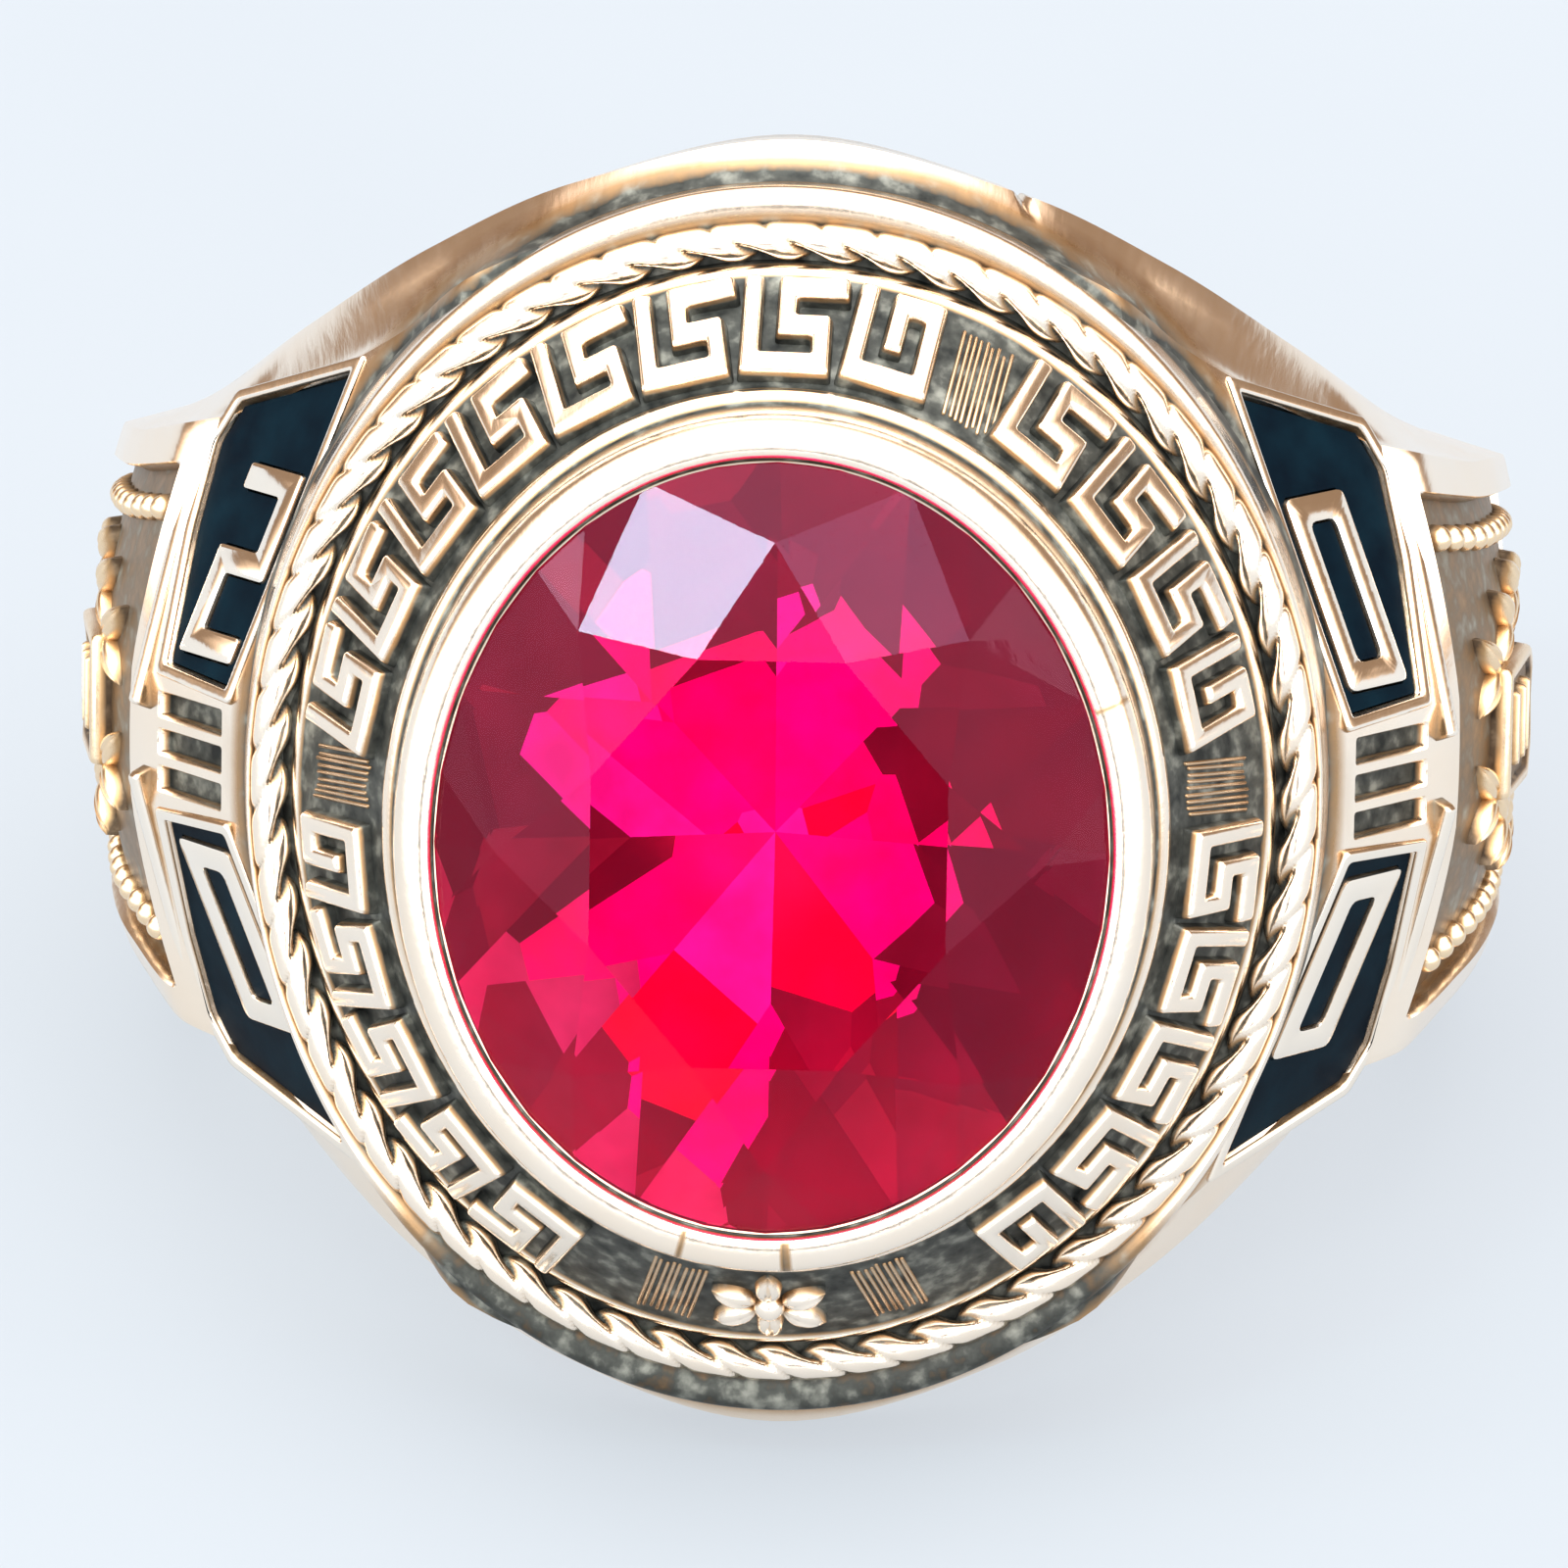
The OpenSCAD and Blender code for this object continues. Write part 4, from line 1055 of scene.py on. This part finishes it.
def spray(end):
    """Pairs of leaves that climb beside the shield."""
    parts = []
    for k in range(LEAF_PAIRS):
        a = LEAF_START - k * LEAF_STEP
        z = end * (0.95 + 1.05 * sin(k * 36 + 30))
        here = side_point(a, z, 0.0)
        up = Vector((sin(a), -cos(a), 0))
        climb = unit(side_point(a - 4, z, 0.0) - here)
        for fork in (-1, 1):
            along = unit(climb + Vector((0, 0, end * fork * 0.75)))
            out = unit(up - up.dot(along) * along)
            across = out.cross(along)
            centre = here + Vector((0, 0, end * fork * 0.3)) + climb * 0.2
            parts.append(placed(
                leaf(1.2, 0.52, 0.30),
                lambda p, c=centre, u=along, v=across, w=out: c + u * p[0] + v * p[1] + w * p[2]))
    return parts


def bead_row(end):
    parts = []
    for k in range(BEADS):
        a = BEAD_START + k * BEAD_STEP
        centre = side_point(a, end * face_half(a) * BEAD_SHARE, 0.03)
        up = Vector((sin(a), -cos(a), 0))
        around = Vector((cos(a), sin(a), 0))
        parts.append(placed(
            dome(BEAD_R, BEAD_H, 6, 16, -0.1),
            lambda p, c=centre, u=around, w=up: c + u * p[0] + Vector((0, 0, p[1])) + w * p[2]))
    return parts


def side_relief(name, side):
    parts = shield()
    for end in (-1, 1):
        parts += spray(end) + bead_row(end)
    parts = [placed(part, lambda p: (p[0] * side, p[1], p[2])) for part in parts]
    return joined_piece(name, parts, SIDE, 50)


# ---- glowing foil in the stone: painted light ----
MAINS = 8
FACET_STEP = 360 / MAINS
LOW_SHARE = 0.42
FOIL_GAP, CULET_GAP = 0.03, 0.04


def stone_foil_glow():
    """Foil on the pavilion's facets, just inside the stone, glowing with painted light. Each facet is a patch
    of its own.
    """
    a, b = STONE_W / 2 - FOIL_GAP, STONE_L / 2 - FOIL_GAP
    deep = PAVILION_H - GIRDLE_T / 2
    low_h = -GIRDLE_T / 2 - deep * (1 - LOW_SHARE * cos(FACET_STEP / 2)) + FOIL_GAP

    def at(share, t, height):
        """A corner's flat place, which the look uses, and its point on the foil."""
        return (share * sin(t), share * cos(t)), (a * share * sin(t), -GIRDLE_Y - height, b * share * cos(t))

    points, flat, faces = [], [], []
    culet = at(0, 0, -PAVILION_H + CULET_GAP)
    for i in range(MAINS):
        main, half = FACET_TURN + FACET_STEP * i, FACET_STEP * (i + 1)
        tip, corner = at(1, main, -GIRDLE_T / 2), at(LOW_SHARE, half, low_h)
        before, after = at(LOW_SHARE, half - FACET_STEP, low_h), at(1, main + FACET_STEP, -GIRDLE_T / 2)
        rest = [at(1, main + FACET_STEP / 4 * k, -GIRDLE_T / 2) for k in (1, 2, 3)]
        facets = [
            (tip, corner, culet, before),
            (corner, tip, rest[0], rest[1]),
            (corner, rest[1], rest[2], after),
        ]
        for facet in facets:
            tone = random.uniform(0, 9)
            faces.append(tuple(range(len(points), len(points) + len(facet))))
            points += [p for _, p in facet]
            flat += [v for place, _ in facet for v in (*place, tone)]
    obj = piece("stone_foil_glow", points, faces, FOIL, 1)
    layer = obj.data.attributes.new("flat", "FLOAT_VECTOR", "POINT")
    layer.data.foreach_set("vector", flat)
    return obj


head_shell()
cord()
key_band()
rosette()
band()
frames_and_bars()
numerals()
side_relief("left_side_relief", -1)
side_relief("right_side_relief", 1)
stone_foil_glow()

# The stone and the enamels are the CAD solids themselves, with a material.
for name, node in frame["nodes"].items():
    if name == "stone":
        paint(node.data, STONE)
    elif name.startswith("enamel"):
        paint(node.data, ENAMEL)


# ---- floor, light, camera ----
def lay_floor(half, height):
    """A pale floor that gives off light as a light table does, so that shadows stay faint."""
    mesh = bpy.data.meshes.new("floor")
    corners = [(-half, -half, height), (half, -half, height), (half, half, height), (-half, half, height)]
    mesh.from_pydata(corners, [], [(0, 1, 2, 3)])
    floor = linked("floor", mesh)
    material, tree, shader = new_material("pale_floor")
    tone = ramp(tree, noise(tree, "grain", 30, 3),
                [(0.3, (0.088, 0.095, 0.103)), (0.7, (0.092, 0.099, 0.107))])
    feed(tree, shader.inputs["Base Color"], tone)
    feed(tree, shader.inputs["Emission Color"], tone)
    set_inputs(shader, {"Emission Strength": 5.6, "Roughness": 0.9})
    mesh.materials.append(material)


# The direction of a dark card in the room's light, and the cosines where it starts and where it is full.
CARD_DIRECTION = (-0.039, -0.985, 0.171)
CARD_EDGE, CARD_FULL = 0.988, 0.994


def light_room():
    """A bright wide screen in front and above, and a warm dark room at the sides and behind."""
    room = bpy.data.worlds.new("studio")
    room.use_nodes = True
    tree = room.node_tree
    direction = tree.nodes.new("ShaderNodeTexCoord").outputs["Generated"]
    parts = tree.nodes.new("ShaderNodeSeparateXYZ")
    tree.links.new(direction, parts.inputs[0])
    front = maths(tree, "MULTIPLY_ADD", parts.outputs["Y"], -1.5, 0.55)
    above = maths(tree, "MULTIPLY_ADD", parts.outputs["Z"], 2.4, -0.95)
    bright = maths(tree, "MAXIMUM", front, above)
    cloud = tree.nodes.new("ShaderNodeTexNoise")
    set_inputs(cloud, {"Scale": 2.2, "Detail": 1.5})
    tree.links.new(direction, cloud.inputs["Vector"])
    patchy = maths(tree, "MULTIPLY_ADD", cloud.outputs["Fac"], 0.9, maths(tree, "SUBTRACT", bright, 0.40))
    sky = ramp(tree, patchy, [
        (0.0, (0.12, 0.08, 0.052)), (0.35, (0.46, 0.34, 0.245)),
        (0.65, (0.85, 0.82, 0.79)), (0.9, (0.97, 0.98, 1.0))])
    # a small dark card that the stone's table mirrors
    card = tree.nodes.new("ShaderNodeVectorMath")
    card.operation = "DOT_PRODUCT"
    card.inputs[1].default_value = CARD_DIRECTION
    tree.links.new(direction, card.inputs[0])
    hidden = ramp(tree, card.outputs["Value"], [(CARD_EDGE, (0, 0, 0)), (CARD_FULL, (1, 1, 1))])
    background = tree.nodes["Background"]
    feed(tree, background.inputs["Color"], mix_colour(tree, hidden, sky, (0.01, 0.01, 0.012)))
    background.inputs["Strength"].default_value = 2.8
    bpy.context.scene.world = room


def lamp(name, place, aim, size, power, colour=(1, 1, 1)):
    data = bpy.data.lights.new(name, "AREA")
    data.shape = "RECTANGLE"
    data.size, data.size_y = size
    data.energy = power
    data.color = colour
    obj = linked(name, data)
    obj.location = place
    obj.rotation_euler = (Vector(aim) - Vector(place)).to_track_quat("-Z", "Y").to_euler()


lay_floor(3, cad_box[0][2])
light_room()
bpy.context.scene.view_settings.view_transform = "Standard"
lamp("overhead", (0.0, -0.05, 0.35), (0, -0.01, 0), (0.30, 0.25), 0.8)
lamp("left_box", (-0.218, -0.0915, 0.204), (-0.003, -0.0126, 0.010), (0.06, 0.06), 0.13)
lamp("right_box", (0.30, -0.12, 0.16), (0, -0.01, 0), (0.10, 0.18), 0.2, (1.0, 0.94, 0.86))
# The next two are each mirrored by one facet of the stone's crown: the upper right and the upper left.
lamp("right_card", (0.102, -0.162, 0.2504), (0.002, -0.013, 0.010), (0.06, 0.06), 0.09, (0.85, 0.9, 1.0))
lamp("stone_light", (-0.121, -0.156, 0.2455), (-0.001, -0.013, 0.010), (0.02, 0.02), 0.105, (0.54, 1.0, 0.88))

# The camera was fitted to the photograph: its aim, how far it stands over and beside the stone's axis,
# its distance and its angle of view.
TARGET = world((0.173, -15, 1.04))
LIFT, TURN, DISTANCE = 11.6, 2.23, 0.220
VIEW_ANGLE, SENSOR = 6.464, 36
toward = TO_REST.to_3x3() @ Vector((sin(TURN) * cos(LIFT), -cos(TURN) * cos(LIFT), sin(LIFT)))
camera_data = bpy.data.cameras.new("camera")
camera_data.sensor_width = SENSOR
camera_data.lens = SENSOR / 2 / math.tan(math.radians(VIEW_ANGLE / 2))
camera_data.clip_start = 0.01
camera = linked("camera", camera_data)
camera.location = TARGET + toward * DISTANCE
camera.rotation_euler = (-toward).to_track_quat("-Z", "Y").to_euler()
bpy.context.scene.camera = camera
